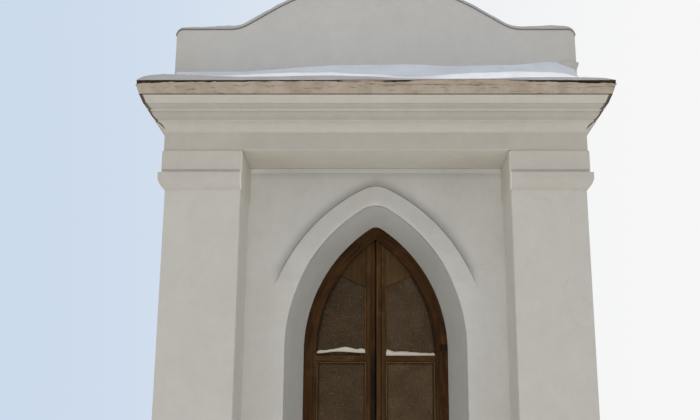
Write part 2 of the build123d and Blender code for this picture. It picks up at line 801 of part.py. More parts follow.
def hinge_knuckle(z, is_fixed):
    """Half of one hinge: the frame's half carries the pin, and the leaf's half turns on it."""
    low_z = z - knuckle_length if is_fixed else z + hinge_play
    half_height = knuckle_length - hinge_play
    z_span = (low_z, low_z + half_height)
    side = -1 if is_fixed else 1
    edge_x = pin_x + side * leaf_gap / 2
    web_y = wall_inner_y + hinge_web_lift
    block(
        sorted((edge_x + side * hinge_play, pin_x + side * hinge_plate_length)),
        (wall_inner_y, wall_inner_y + hinge_plate_thickness),
        z_span,
    )
    block(sorted((pin_x, edge_x + side * hinge_web_lap)), (web_y, web_y + hinge_plate_thickness), z_span)
    with BuildSketch(Plane.XY.offset(low_z)) as ring:
        with Locations((pin_x, pin_y)):
            Circle(knuckle_radius)
    extrude(ring.sketch, amount=half_height)
    with BuildSketch(Plane.XY.offset(low_z)) as pin:
        with Locations((pin_x, pin_y)):
            Circle(pin_radius if is_fixed else pin_radius + hinge_play)
    if is_fixed:
        extrude(pin.sketch, amount=2 * half_height)
    else:
        extrude(pin.sketch, amount=half_height, mode=Mode.SUBTRACT)


with BuildPart() as frame_hinges:
    for height in hinge_heights:
        hinge_knuckle(height, True)
    mirror(about=Plane.YZ)

with BuildPart() as leaf_left_hinges:
    for height in hinge_heights:
        hinge_knuckle(height, False)

# The back parapet repeats the front one
with BuildPart() as parapet_back:
    mirror(parapet_front.part, about=Plane.XZ)

single_pieces = {
    "base_slab": base_slab,
    "capitals_front": capitals_front,
    "capitals_back": capitals_back,
    "back_wall": back_wall,
    "arch_band": arch_band,
    "entablature_front": entablature_front,
    "entablature_back": entablature_back,
    "ceiling": ceiling,
    "cornice_slab": cornice_slab,
    "parapet_front": parapet_front,
    "parapet_back": parapet_back,
    "copings": copings,
    "ridge_cap": ridge_cap,
    "door_sill": door_sill,
    "frame_jambs": frame_jambs,
    "frame_hinges": frame_hinges,
    "leaf_left_meeting_stile": leaf_left_meeting_stile,
    "leaf_right_meeting_stile": leaf_right_meeting_stile,
}
left_pieces = {
    "pier_front_left": pier_front_left,
    "pier_back_left": pier_back_left,
    "front_wall_left": front_wall_left,
    "front_wall_over_left": front_wall_over_left,
    "left_wall": left_wall,
    "entablature_left": entablature_left,
    "roof_left": roof_left,
    "frame_head_left": frame_head_left,
    "leaf_left_hinge_stile": leaf_left_hinge_stile,
    "leaf_left_arch_rail": leaf_left_arch_rail,
    "leaf_left_rails": leaf_left_rails,
    "leaf_left_panels": leaf_left_panels,
    "leaf_left_head_board": leaf_left_head_board,
    "leaf_left_knob": leaf_left_knob,
    "leaf_left_hinges": leaf_left_hinges,
}

# Write each piece, and the right-hand twin of each left-hand one
os.makedirs("parts", exist_ok=True)
finished = dict(single_pieces)
for name, piece in left_pieces.items():
    finished[name] = piece
    finished[name.replace("left", "right")] = mirrored(piece)
for name, piece in finished.items():
    piece.part.label = name
    export_step(piece.part, f"parts/{name}.step")
print(len(finished), "pieces written")
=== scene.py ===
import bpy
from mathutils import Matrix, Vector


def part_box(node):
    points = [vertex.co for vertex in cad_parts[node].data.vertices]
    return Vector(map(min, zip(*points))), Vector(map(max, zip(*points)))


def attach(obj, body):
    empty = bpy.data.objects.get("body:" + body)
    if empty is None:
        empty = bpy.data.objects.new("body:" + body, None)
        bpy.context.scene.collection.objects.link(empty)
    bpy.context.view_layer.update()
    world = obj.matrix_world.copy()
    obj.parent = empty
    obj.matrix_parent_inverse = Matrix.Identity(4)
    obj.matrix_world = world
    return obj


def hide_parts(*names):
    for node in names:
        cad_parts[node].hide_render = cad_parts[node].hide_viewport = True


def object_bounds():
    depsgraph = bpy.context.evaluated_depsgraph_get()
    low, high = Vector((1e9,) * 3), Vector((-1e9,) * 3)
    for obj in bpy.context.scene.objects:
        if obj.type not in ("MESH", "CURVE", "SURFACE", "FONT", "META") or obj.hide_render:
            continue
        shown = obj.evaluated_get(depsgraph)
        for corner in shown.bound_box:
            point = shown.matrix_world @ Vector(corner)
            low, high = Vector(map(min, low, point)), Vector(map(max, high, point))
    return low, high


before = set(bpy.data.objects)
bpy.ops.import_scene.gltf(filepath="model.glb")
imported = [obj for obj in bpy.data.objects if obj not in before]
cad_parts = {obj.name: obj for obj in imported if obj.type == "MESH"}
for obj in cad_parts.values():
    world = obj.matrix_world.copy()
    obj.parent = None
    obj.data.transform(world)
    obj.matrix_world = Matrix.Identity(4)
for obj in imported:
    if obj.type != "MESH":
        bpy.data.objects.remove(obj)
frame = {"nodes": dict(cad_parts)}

import fnmatch
import math

import bpy
import numpy as np

cadLow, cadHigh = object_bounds()
nodes = frame["nodes"]
scene = bpy.context.scene
slabLow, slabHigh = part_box("cornice_slab")
parapetLow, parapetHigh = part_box("parapet_front")
bandLow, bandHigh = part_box("arch_band")
wallLow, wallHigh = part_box("front_wall_left")
wallFaceY = wallLow.y
springingZ = wallHigh.z
pierInnerX = -wallLow.x
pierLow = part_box("pier_front_left")[0]
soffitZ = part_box("front_wall_over_left")[1].z
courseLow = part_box("entablature_front")[0]
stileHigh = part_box("leaf_left_hinge_stile")[1]
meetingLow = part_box("leaf_left_meeting_stile")[0]
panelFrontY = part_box("leaf_left_panels")[0].y
sides = {"left": -1, "right": 1}
print("frame loaded,", len(nodes), "nodes")


# Ways of adding shader nodes

# Each input is a value, set on the node's own socket, or another node's output.
def feed(node, inputs):
    for key, value in inputs.items():
        if isinstance(value, bpy.types.NodeSocket):
            node.id_data.links.new(value, node.inputs[key])
        else:
            node.inputs[key].default_value = value


# One node, in the tree of the outputs that feed it where none is named. Settings are its properties.
def addNode(kind, inputs, tree=None, **settings):
    sockets = [value for value in inputs.values() if isinstance(value, bpy.types.NodeSocket)]
    tree = tree or sockets[0].id_data
    node = tree.nodes.new(kind)
    for key, value in settings.items():
        setattr(node, key, value)
    feed(node, inputs)
    return node


def combine(operation, first, second=0):
    return addNode("ShaderNodeMath", {0: first, 1: second}, operation=operation).outputs[0]


def hypotenuse(first, second):
    squares = combine("ADD", combine("MULTIPLY", first, first), combine("MULTIPLY", second, second))
    return combine("SQRT", squares)


def remap(value, fromLow, fromHigh, toLow=0.0, toHigh=1.0, smooth=False):
    inputs = {"Value": value, "From Min": fromLow, "From Max": fromHigh, "To Min": toLow, "To Max": toHigh}
    kind = "SMOOTHSTEP" if smooth else "LINEAR"
    return addNode("ShaderNodeMapRange", inputs, interpolation_type=kind).outputs["Result"]


def mixColor(factor, first, second, mode="MIX"):
    inputs = {0: factor, 6: first, 7: second}
    inputs = {key: (*value, 1) if isinstance(value, tuple) else value for key, value in inputs.items()}
    return addNode("ShaderNodeMix", inputs, data_type="RGBA", blend_type=mode).outputs[2]


def scaleColor(color, tone):
    return mixColor(1.0, color, tone, "MULTIPLY")


# Camera and light

view = {
    "place": (0, -9.315, 1.55),  # metres, eye height on level ground, on the building's middle line
    "pitch": 14.46,  # degrees up
    "lens": 48.86,
    "middlePixel": 375.8,  # the photo is cropped, so the building's middle line stands right of its centre
    "imageWidth": 700,
}
light = {
    "skyColor": (0.96, 0.98, 1.0),
    "skyStrength": 0.78,
    "backdropLeft": (0.6, 0.7, 0.84),
    "backdropRight": (0.93, 0.93, 0.93),
    "backdropFrom": -0.36,  # where the backdrop's colour begins and ends to change, along X
    "backdropTo": 0.3,
    "sunColor": (1.0, 0.97, 0.93),
    "sunStrength": 0.32,
    "sunAngle": 60,  # a wide sun gives the soft light of a bright cloudy day
    "sunTurn": (58, 0, 3),  # degrees
    "bounceColor": (1.0, 0.985, 0.96),
    "bounceRadiance": 0.56,  # snowy ground throws much light up at the underside of the cornice
    "bounceHeight": 0.002,
    "floorColor": (0.8, 0.8, 0.8),
    "floorSize": 60,
}


def addToScene(name, data, place=(0, 0, 0), turn=(0, 0, 0)):
    thing = bpy.data.objects.new(name, data)
    thing.location = place
    thing.rotation_euler = turn
    scene.collection.objects.link(thing)
    return thing


def makeCamera(v):
    data = bpy.data.cameras.new("camera")
    data.lens = v["lens"]
    data.sensor_width = 36
    data.shift_x = 0.5 - v["middlePixel"] / v["imageWidth"]
    scene.camera = addToScene("camera", data, v["place"], (math.radians(90 + v["pitch"]), 0, 0))


def makeLight(v):
    sun = bpy.data.lights.new("soft_sun", "SUN")
    sun.energy = v["sunStrength"]
    sun.color = v["sunColor"]
    sun.angle = math.radians(v["sunAngle"])
    addToScene("soft_sun", sun, turn=[math.radians(angle) for angle in v["sunTurn"]])

    bounce = bpy.data.lights.new("ground_bounce", "AREA")
    bounce.shape = "SQUARE"
    bounce.size = v["floorSize"]
    bounce.color = v["bounceColor"]
    bounce.energy = v["bounceRadiance"] * math.pi * v["floorSize"] ** 2
    lamp = addToScene("ground_bounce", bounce, (0, 0, v["bounceHeight"]), (math.pi, 0, 0))
    lamp.visible_camera = False

    world = bpy.data.worlds.new("studio")
    world.use_nodes = True
    world.node_tree.nodes.clear()
    rays = addNode("ShaderNodeLightPath", {}, world.node_tree).outputs
    seen = combine("MAXIMUM", rays["Is Camera Ray"], rays["Is Glossy Ray"])
    seen = combine("MAXIMUM", seen, rays["Is Transmission Ray"])
    across = addNode("ShaderNodeTexCoord", {}, world.node_tree).outputs["Generated"]
    across = addNode("ShaderNodeSeparateXYZ", {0: across}).outputs["X"]
    across = remap(across, v["backdropFrom"], v["backdropTo"], smooth=True)
    backdrop = mixColor(across, v["backdropLeft"], v["backdropRight"])
    lit = addNode("ShaderNodeBackground", {"Color": (*v["skyColor"], 1), "Strength": v["skyStrength"]},
                  world.node_tree)
    shown = addNode("ShaderNodeBackground", {"Color": backdrop, "Strength": 1})
    both = addNode("ShaderNodeMixShader", {0: seen, 1: lit.outputs[0], 2: shown.outputs[0]})
    addNode("ShaderNodeOutputWorld", {"Surface": both.outputs[0]})
    scene.world = world
    scene.view_settings.view_transform = "Standard"


makeCamera(view)
makeLight(light)
print("camera and light made")


# Ways of making shapes

# Smooth value noise from -1 to 1: each whole-number corner gets a hashed value, and the eight corners round
# a point are blended with 3t^2 - 2t^3 along each axis.
def latticeNoise(points, seed):
    cell = np.floor(points).astype(np.int64)
    part = points - cell
    ease = part * part * (3 - 2 * part)
    total = np.zeros(points.shape[:-1])
    for corner in np.ndindex(2, 2, 2):
        at = (cell + np.array(corner)).astype(np.uint64)
        mixed = at[..., 0] * np.uint64(374761393) + at[..., 1] * np.uint64(668265263)
        mixed = mixed + at[..., 2] * np.uint64(2246822519) + np.uint64(seed * 3266489917)
        mixed = (mixed ^ (mixed >> np.uint64(13))) * np.uint64(1274126177)
        mixed = mixed & np.uint64(0xFFFFFFFF)
        mixed = (mixed ^ (mixed >> np.uint64(16))) & np.uint64(0xFFFF)
        value = mixed.astype(float) / 32767.5 - 1
        weight = np.prod(np.where(corner, ease, 1 - ease), axis=-1)
        total = total + weight * value
    return total


# Lattice noise summed over octaves, each half the size and half the strength of the one before.
def fractalNoise(points, size, octaves, seed):
    total = np.zeros(points.shape[:-1])
    for octave in range(octaves):
        total = total + latticeNoise(points / size * 2**octave, seed + octave) / 2**octave
    return total


# Points from their coordinates, each an array or one number for all.
def pointsAt(x, y, z):
    return np.stack(np.broadcast_arrays(x, y, z), -1)


# Fractal noise on a line, s in metres.
def noiseAlong(s, size, octaves, seed):
    return fractalNoise(pointsAt(s, 0, 0), size, octaves, seed)


# 0 under low, 1 over high, and 3t^2 - 2t^3 between them.
def smoothStep(low, high, x):
    t = np.clip((x - low) / (high - low), 0, 1)
    return t * t * (3 - 2 * t)


# Half of a superellipse, from one edge over the top to the other: how far across, -1 to 1, and how high.
def archedSection(count, acrossPower, liftPower):
    for turn in np.linspace(0, math.pi, count):
        across = -math.copysign(abs(math.cos(turn)) ** acrossPower, math.cos(turn))
        yield turn, across, max(math.sin(turn), 0) ** liftPower


# Quads between neighbouring points of a grid, shape (U, V, 3), which closes round in V. In U it closes round
# too, or its two ends are capped. Faces are turned so that the enclosed volume is positive.
def gridFaces(grid, wrapU):
    countU, countV = grid.shape[:2]
    index = np.arange(countU * countV).reshape(countU, countV)
    nextU = np.roll(index, -1, 0)[: countU if wrapU else countU - 1]
    here = index[: len(nextU)]
    quads = np.stack([here, np.roll(here, -1, 1), np.roll(nextU, -1, 1), nextU], -1).reshape(-1, 4)
    points = grid.reshape(-1, 3)
    faces = quads.tolist()
    if not wrapU:
        faces.append(index[0][::-1].tolist())
        faces.append(index[-1].tolist())
    a, b, c, d = (points[quads[:, i]] for i in range(4))
    middle = points.mean(0)
    volume = np.einsum("ij,ij->", a - middle, np.cross(b - middle, c - middle))
    volume += np.einsum("ij,ij->", a - middle, np.cross(c - middle, d - middle))
    if volume < 0:
        faces = [face[::-1] for face in faces]
    return points, faces


# One mesh of one or more grids, in the order given. Each attribute has a value for each point.
def surfaceFrom(name, grids, finish, body="mausoleum", sharp=50, wrapU=False, attributes=None):
    allPoints, allFaces = [], []
    for grid in grids:
        points, faces = gridFaces(grid, wrapU)
        start = sum(len(part) for part in allPoints)
        allFaces += [[start + corner for corner in face] for face in faces]
        allPoints.append(points)
    mesh = bpy.data.meshes.new(name)
    mesh.from_pydata(np.concatenate(allPoints).tolist(), [], allFaces)
    for key, values in (attributes or {}).items():
        layer = mesh.attributes.new(key, "FLOAT", "POINT")
        layer.data.foreach_set("value", values.reshape(-1).astype(np.float32))
    mesh.shade_smooth()
    mesh.set_sharp_from_angle(angle=math.radians(sharp))
    mesh.materials.append(finishes[finish])
    piece = addToScene(name, mesh)
    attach(piece, body)
    return piece


# Snow keeps two values for each point: how clean and lit, and how soaked and shaded it is, partly painted
# light and shade.
def snowFrom(name, grids, cleanAndLit, soakedAndShaded, finish="snow", body="mausoleum"):
    attributes = {"cleanAndLit": cleanAndLit, "soakedAndShaded": soakedAndShaded}
    surfaceFrom(name, grids, finish, body, sharp=60, attributes=attributes)


# Ways of making finishes

finishes = {}


# Makes an empty material, kept under its name, and gives its shader and its Object coordinates.
def newFinish(name):
    material = bpy.data.materials.new(name)
    material.use_nodes = True
    finishes[name] = material
    tree = material.node_tree
    return tree.nodes["Principled BSDF"], addNode("ShaderNodeTexCoord", {}, tree).outputs["Object"]


# A pattern such as pier_* stands for the CAD nodes whose names fit it.
def paint(finish, *patterns):
    for pattern in patterns:
        for name in fnmatch.filter(nodes, pattern):
            mesh = nodes[name].data
            mesh.materials.clear()
            mesh.materials.append(finishes[finish])


# Noise value with its own stretch along each axis.
def noiseField(coords, scale, detail=4, roughness=0.55, stretch=(1, 1, 1), offset=(0, 0, 0)):
    placed = addNode("ShaderNodeMapping", {"Vector": coords, "Scale": stretch, "Location": offset})
    inputs = {"Vector": placed.outputs[0], "Scale": scale, "Detail": detail, "Roughness": roughness}
    return addNode("ShaderNodeTexNoise", inputs).outputs["Fac"]


# Noise spread from one range to another: patches with soft edges, or an even spread where not smooth. The
# noise is what noiseField takes, from its scale on.
def patches(coords, noise, fromLow, fromHigh, toLow=0.0, toHigh=1.0, smooth=True):
    return remap(noiseField(coords, *noise), fromLow, fromHigh, toLow, toHigh, smooth)


# Each bump is a height and its depth in metres, and lies over the one before.
def addBumps(*bumps):
    normal = None
    for height, distance in bumps:
        under = {"Normal": normal} if normal else {}
        normal = addNode("ShaderNodeBump", {"Height": height, "Distance": distance, **under}).outputs[0]
    return normal


# Coordinates of a point, its distance from the building's middle line, from the mitres of the cornice and
# over the head board's lower edge, and how far it lies outside each arc: the hypotenuse from the arc's
# centre, less the radius. Under the springing the arcs run on as jambs.
def measures(coords):
    x, y, z = addNode("ShaderNodeSeparateXYZ", {0: coords}).outputs
    aside = combine("ABSOLUTE", x)
    above = combine("MAXIMUM", combine("SUBTRACT", z, springingZ))
    ragged = patches(coords, (30, 4, 0.6), 0.3, 0.7, -0.002, 0.002, smooth=False)
    corner = combine("SUBTRACT", combine("ABSOLUTE", y), cornerOffset)
    mitre = combine("ABSOLUTE", combine("SUBTRACT", corner, aside))
    level = combine("SUBTRACT", z, combine("MULTIPLY", aside, headBoard["slope"]))
    found = {"X": x, "Y": y, "Z": z, "aside": aside}
    found["fromMitre"] = combine("ADD", mitre, ragged)
    found["overSlant"] = combine("SUBTRACT", level, headBoard["lowZ"])
    for name, arc in arcs.items():
        distance = hypotenuse(combine("ADD", aside, arc["centre"]), above)
        found[name] = combine("SUBTRACT", distance, arc["radius"])
    return found


# A tint is a tone, or a colour, and the steps whose product says where it lies.
def applyTints(color, place, tints):
    for tone, steps in tints:
        inside = 1.0
        for along, zero, full in steps:
            inside = combine("MULTIPLY", inside, remap(place[along], zero, full, smooth=True))
        if isinstance(tone, tuple):
            color = mixColor(inside, color, tone)
        else:
            color = scaleColor(color, remap(inside, 0, 1, 1, tone))
    return color


# Plaster

# Lime plaster: clouded wash, rain streaks, splashed dirt low down, fine cracks, trowel marks and sand.
def limewash(name, s):
    shader, coords = newFinish(name)
    place = measures(coords)
    color = mixColor(patches(coords, (s["cloudScale"], 5, 0.6), 0.36, 0.64), s["color"], s["shade"])
    color = applyTints(color, place, s.get("tints", []))
    mottle = patches(coords, (9, 8, 0.65), 0.3, 0.7, 1 - s["mottle"], 1 + s["mottle"], smooth=False)
    color = scaleColor(color, mottle)

    streaks = patches(coords, (1, 5, 0.6, (11, 11, 0.55)), 0.55, 0.78)
    streaks = combine("MULTIPLY", streaks, patches(coords, (0.8, 3), 0.45, 0.65))
    color = mixColor(combine("MULTIPLY", streaks, s["streaks"]), color, s["stain"])

    ragged = {0: noiseField(coords, 3.2, 6), 1: 0.7, 2: -0.35}
    ragged = addNode("ShaderNodeMath", ragged, operation="MULTIPLY_ADD").outputs[0]
    height = combine("ADD", place["Z"], ragged)
    splash = remap(height, s["splashTop"], s["splashFull"], 0.0, s["splash"], smooth=True)
    color = mixColor(splash, color, s["dirt"])

    warp = addNode("ShaderNodeTexNoise", {"Vector": coords, "Scale": 3.5, "Detail": 5}).outputs["Color"]
    bent = {"Vector": mixColor(0.09, coords, warp, "LINEAR_LIGHT"), "Scale": s["crackScale"]}
    cracks = addNode("ShaderNodeTexVoronoi", bent, feature="DISTANCE_TO_EDGE").outputs["Distance"]
    cracks = remap(cracks, 0.0, s["crackWidth"], 1, 0)
    cracks = combine("MULTIPLY", cracks, patches(coords, (1.1, 2, 0.55, (1, 1, 1), (7, 3, 1)), 0.54, 0.62))
    color = mixColor(combine("MULTIPLY", cracks, s["cracks"]), color, s["crackColor"])

    trowel = noiseField(coords, 5.5, 4, 0.5, stretch=(1, 1, 0.7))
    sand = noiseField(coords, 240, 3, 0.6)
    uncracked = combine("SUBTRACT", 1, cracks)
    feed(shader, {
        "Base Color": color,
        "Roughness": patches(coords, (26, 4), 0.3, 0.7, 0.82, 0.96, smooth=False),
        "Specular IOR Level": 0.25,
        "Normal": addBumps((trowel, s["trowelDepth"]), (sand, s["sandDepth"]), (uncracked, s["crackDepth"])),
    })


cornerOffset = pierLow.x - pierLow.y  # the mitres of the cornice run out from the corners of the piers
archCentreX = 0.68  # the arcs of the door head are struck from beyond the far jambs
headBoard = {
    "slope": 88 / 190,  # its lower edge climbs from the meeting stile towards the hinges
    "rise": 0.56,  # over the springing, at the meeting stile
}
headBoard["lowZ"] = springingZ + headBoard["rise"] + meetingLow.x * headBoard["slope"]
arcs = {  # metres: each arc is struck from a centre beyond the middle
    "outsideBand": {"centre": 0.58, "radius": 1.52},
    "outsideReveal": {"centre": 0.62, "radius": 1.375},
    "outsidePanel": {"centre": archCentreX, "radius": archCentreX - stileHigh.x},
}
plasterBase = {
    "color": (0.48, 0.472, 0.436),
    "shade": (0.46, 0.448, 0.412),
    "stain": (0.24, 0.224, 0.192),
    "dirt": (0.136, 0.124, 0.096),
    "crackColor": (0.16, 0.148, 0.128),
    "cloudScale": 1.3,
    "mottle": 0.035,
    "streaks": 0.1,
    "splashTop": 0.75,  # heights over the ground where the splashed dirt begins and is at its full
    "splashFull": 0.1,
    "splash": 0.75,
    "crackScale": 1.5,
    "crackWidth": 0.006,
    "cracks": 0.05,
    "crackDepth": 0.0012,
    "trowelDepth": 0.01,
    "sandDepth": 0.0012,
}


# A tint between two heights over the soffit, with soft edges.
def course(low, high, tone, edge=0.004, more=()):
    low, high = courseLow.z + low, courseLow.z + high
    return tone, [("Z", low - edge, low + edge), ("Z", high + edge, high - edge), *more]


onWall = [("outsideReveal", 0.0, 0.05)]
inReveal = [("Y", bandLow.y + 0.001, bandLow.y + 0.004), ("outsideReveal", 0.0015, 0.0005)]
onSoffit = [("Z", courseLow.z + 0.002, courseLow.z + 0.0005)]
# Dark brown along the mitres: partly stain, partly painted shade of the cornice's returns.
mitreStainAndShade = (0.075, 0.055, 0.037)
frontTints = [
    (0.92, [("Y", wallFaceY - 0.003, wallFaceY - 0.015), ("outsideReveal", 0.0005, 0.0015)]),  # raised band, with painted shade
    (0.76, inReveal),  # reveal, in the shade
    # Painted light on the upper part of the reveal.
    (1.17, inReveal + [("Z", bandHigh.z - 0.62, bandHigh.z - 0.2)]),
    (0.89, [("aside", 0.92, 0.62), ("Z", bandHigh.z - 0.75, bandHigh.z - 0.25), *onWall]),  # over the arch
    (1.08, [("Z", soffitZ - 0.6, soffitZ - 0.1), *onWall]),  # painted light under the soffit, where it shades the wall
    # Painted light beside the piers and in the corners under the soffit, where they shade the wall.
    (1.1, [("aside", pierInnerX - 0.22, pierInnerX - 0.02), *onWall]),
    (1.14, [("aside", pierInnerX - 0.3, pierInnerX), ("Z", soffitZ - 0.35, soffitZ), *onWall]),
    (0.78, [("outsideBand", 0.085, -0.005), ("outsideBand", -0.018, -0.013),
            ("Z", bandLow.z, bandLow.z + 0.2)]),  # painted shadow beside the band
    (1.14, [("Z", soffitZ - 0.046, soffitZ - 0.042)]),  # painted light on the thin strip under the soffit
    (0.62, [("Z", soffitZ - 0.007, soffitZ - 0.004)]),
    # Painted shade on the wall under the thin strip.
    (0.88, [("Z", soffitZ - 0.11, soffitZ - 0.046), ("Z", soffitZ - 0.043, soffitZ - 0.045)]),
]
corniceTints = [
    course(0.002, 0.148, 0.9),
    # Painted shade on the frieze over the recess.
    course(0.002, 0.148, 0.94, more=[("aside", pierInnerX + 0.05, pierInnerX - 0.05)]),
    # Painted shade in the two coves of the cornice.
    course(0.234, 0.29, 0.82),
    course(0.312, 0.344, 0.82),
    # Painted light on the soffit, more near the piers.
    (1.24, onSoffit),
    (1.14, onSoffit + [("aside", pierInnerX - 0.3, pierInnerX)]),
    # Dark strips along the mitres, partly stain and partly painted shade.
    (mitreStainAndShade, [("fromMitre", 0.017, 0.011), ("Z", courseLow.z + 0.16, courseLow.z + 0.2)]),
    (mitreStainAndShade, [("fromMitre", 0.032, 0.022), ("Z", courseLow.z + 0.26, courseLow.z + 0.36)]),
]
parapetTints = [  # bluer low down by the snow, warmer towards the ends
    ((0.425, 0.43, 0.435), [("Z", slabHigh.z + 0.75, slabHigh.z - 0.35), ("aside", 1.6, 0.9)]),
    ((0.44, 0.405, 0.35), [("aside", parapetHigh.x - 0.45, parapetHigh.x + 0.45)]),
]
# Painted light on the inner side faces of the piers and capitals.
pierSideLightTints = [(1.25, [("aside", pierInnerX + 0.003, pierInnerX + 0.001)])]
plasterKinds = {
    "wall_plaster": {"on": ["*_wall", "ceiling"]},
    "front_plaster": {
        "on": ["front_wall_*", "arch_band"],
        # Lighter than the piers' plaster: painted light in the recess.
        "color": (0.531, 0.52, 0.485), "shade": (0.514, 0.499, 0.462), "tints": frontTints,
    },
    "pier_plaster": {
        "on": ["pier_*"],
        "color": (0.47, 0.449, 0.413), "shade": (0.455, 0.434, 0.397), "tints": pierSideLightTints,
    },
    "capital_plaster": {
        "on": ["capitals_*"],
        "color": (0.445, 0.415, 0.37), "shade": (0.43, 0.4, 0.355), "tints": pierSideLightTints,
    },
    "parapet_plaster": {
        "on": ["parapet_*"],
        "color": (0.455, 0.446, 0.425), "shade": (0.436, 0.425, 0.406),
        "tints": parapetTints, "streaks": 0.2,
    },
    "cornice_plaster": {
        "on": ["entablature_*"],
        "color": (0.458, 0.428, 0.376), "shade": (0.443, 0.413, 0.361),
        "tints": corniceTints, "streaks": 0.15,
    },
}
for kind, changes in plasterKinds.items():
    limewash(kind, {**plasterBase, **changes})
    paint(kind, *changes["on"])


# Stone, metal, worn edge and snow

# A finish in layers: clouds of two colours, a speckle that scales them, tints, stains, each a colour and
# where it lies, and a mottle over all. Where something lies is the name of an attribute, or a field: the
# scale, detail and roughness of a noise, and which range of it is spread from 0 to 1, or over the two values
# that follow.
def layeredFinish(name, s):
    shader, coords = newFinish(name)

    def spread(field):
        if isinstance(field, str):
            return addNode("ShaderNodeAttribute", {}, coords.id_data, attribute_name=field).outputs["Fac"]
        return patches(coords, *field) if isinstance(field, tuple) else field

    color = mixColor(spread(s["clouds"]), s["color"], s["shade"])
    if "speckle" in s:
        color = scaleColor(color, patches(coords, *s["speckle"], smooth=False))
    if "tints" in s:
        color = applyTints(color, measures(coords), s["tints"])
    for stain, where in s.get("stains", []):
        color = mixColor(spread(where), color, stain)
    if "mottle" in s:
        color = scaleColor(color, spread(s["mottle"]))
    bumps = [(noiseField(coords, *noise), depth) for noise, depth in s["bumps"]]
    feed(shader, {"Base Color": color, "Roughness": spread(s["roughness"]), "Normal": addBumps(*bumps)})
    feed(shader, s.get("shader", {}))


rust = ((7, 9, 0.7), 0.6, 0.72)
ironRust = ((60, 6, 0.65), 0.48, 0.64)
sheetBase = {  # old sheet metal: dull paint, rust at random spots, slight waviness
    "clouds": ((2.5, 5), 0.35, 0.65),
    "roughness": (*rust, 0.48, 0.85),
    "bumps": [((3.5, 3), 0.006), ((150, 3), 0.0006)],
    "shader": {"Metallic": 0.35},
}
snowBase = {  # the cleanAndLit attribute leads from its first colour to its second, from the drift's painted shade to clean white
    "clouds": "cleanAndLit",
    "mottle": ((5, 6, 0.6), 0.35, 0.65, 0.95, 1.04),
    "roughness": 0.75,
    "bumps": [((18, 5, 0.55), 0.004), ((320, 2), 0.0012)],
    "shader": {
        "Specular IOR Level": 0.3,
        "Subsurface Weight": 0.15,
        "Subsurface Radius": (0.02, 0.025, 0.03),
        "Subsurface Scale": 0.4,
    },
}
layeredKinds = {
    "base_stone": {  # coarse stone or concrete
        "color": (0.264, 0.256, 0.236), "shade": (0.192, 0.188, 0.168),
        "clouds": ((2.2, 6, 0.6), 0.35, 0.65), "speckle": ((120, 4, 0.7), 0.35, 0.65, 0.8, 1.2),
        "roughness": 0.92,
        "bumps": [((14, 8, 0.65), 0.008), ((180, 3, 0.6), 0.0015)],
    },
    "roof_sheet": {
        **sheetBase, "color": (0.16, 0.172, 0.18), "shade": (0.112, 0.12, 0.124),
        "stains": [((0.136, 0.056, 0.024), (*rust, 0, 0.8))],
    },
    "coping_sheet": {
        **sheetBase, "color": (0.152, 0.144, 0.136), "shade": (0.104, 0.1, 0.096),
        "stains": [((0.104, 0.056, 0.032), (*rust, 0, 0.6))],
    },
    "iron": {  # dark skin with rust in patches
        "color": (0.04, 0.037, 0.034), "shade": (0.088, 0.036, 0.016), "clouds": ironRust,
        "roughness": (*ironRust, 0.45, 0.85),
        "bumps": [((220, 4, 0.6), 0.0008)],
        "shader": {"Metallic": 0.8},
    },
    "worn_edge": {  # tan skin with dark scratches, bare rotten brown where it has broken, and painted shade in the drip groove
        "color": (0.388, 0.331, 0.265), "shade": (0.318, 0.264, 0.203), "clouds": ((7, 7, 0.65), 0.35, 0.65),
        "stains": [((0.128, 0.084, 0.048), ((1, 7, 0.7, (9, 9, 110)), 0.55, 0.65, 0, 0.75)),
                   ((0.036, 0.0208, 0.0112), "wearAndShade")],
        "roughness": 0.9,
        "bumps": [((60, 7, 0.7, (0.4, 0.4, 1.6)), 0.006)],
        "shader": {"Specular IOR Level": 0.2},
    },
    "snow": {  # a blue-grey drift where not clean, as painted shade, and grey with melt where soaked, partly painted shade
        **snowBase, "color": (0.575, 0.605, 0.665), "shade": (0.89, 0.915, 0.95),
        "stains": [((0.38, 0.365, 0.365), "soakedAndShaded")],
    },
    # A darker, warmer copy of the snow for the door rails: painted shade.
    "shaded_rail_snow": {
        **snowBase, "color": (0.5, 0.47, 0.4), "shade": (0.56, 0.53, 0.45),
        "stains": [((0.36, 0.3, 0.23), "soakedAndShaded")],
    },
}
for kind, settings in layeredKinds.items():
    layeredFinish(kind, settings)
paint("base_stone", "base_slab", "door_sill")
paint("roof_sheet", "roof_*", "ridge_cap")
paint("coping_sheet", "copings")
paint("iron", "*_hinges", "*_knob")


# Timber

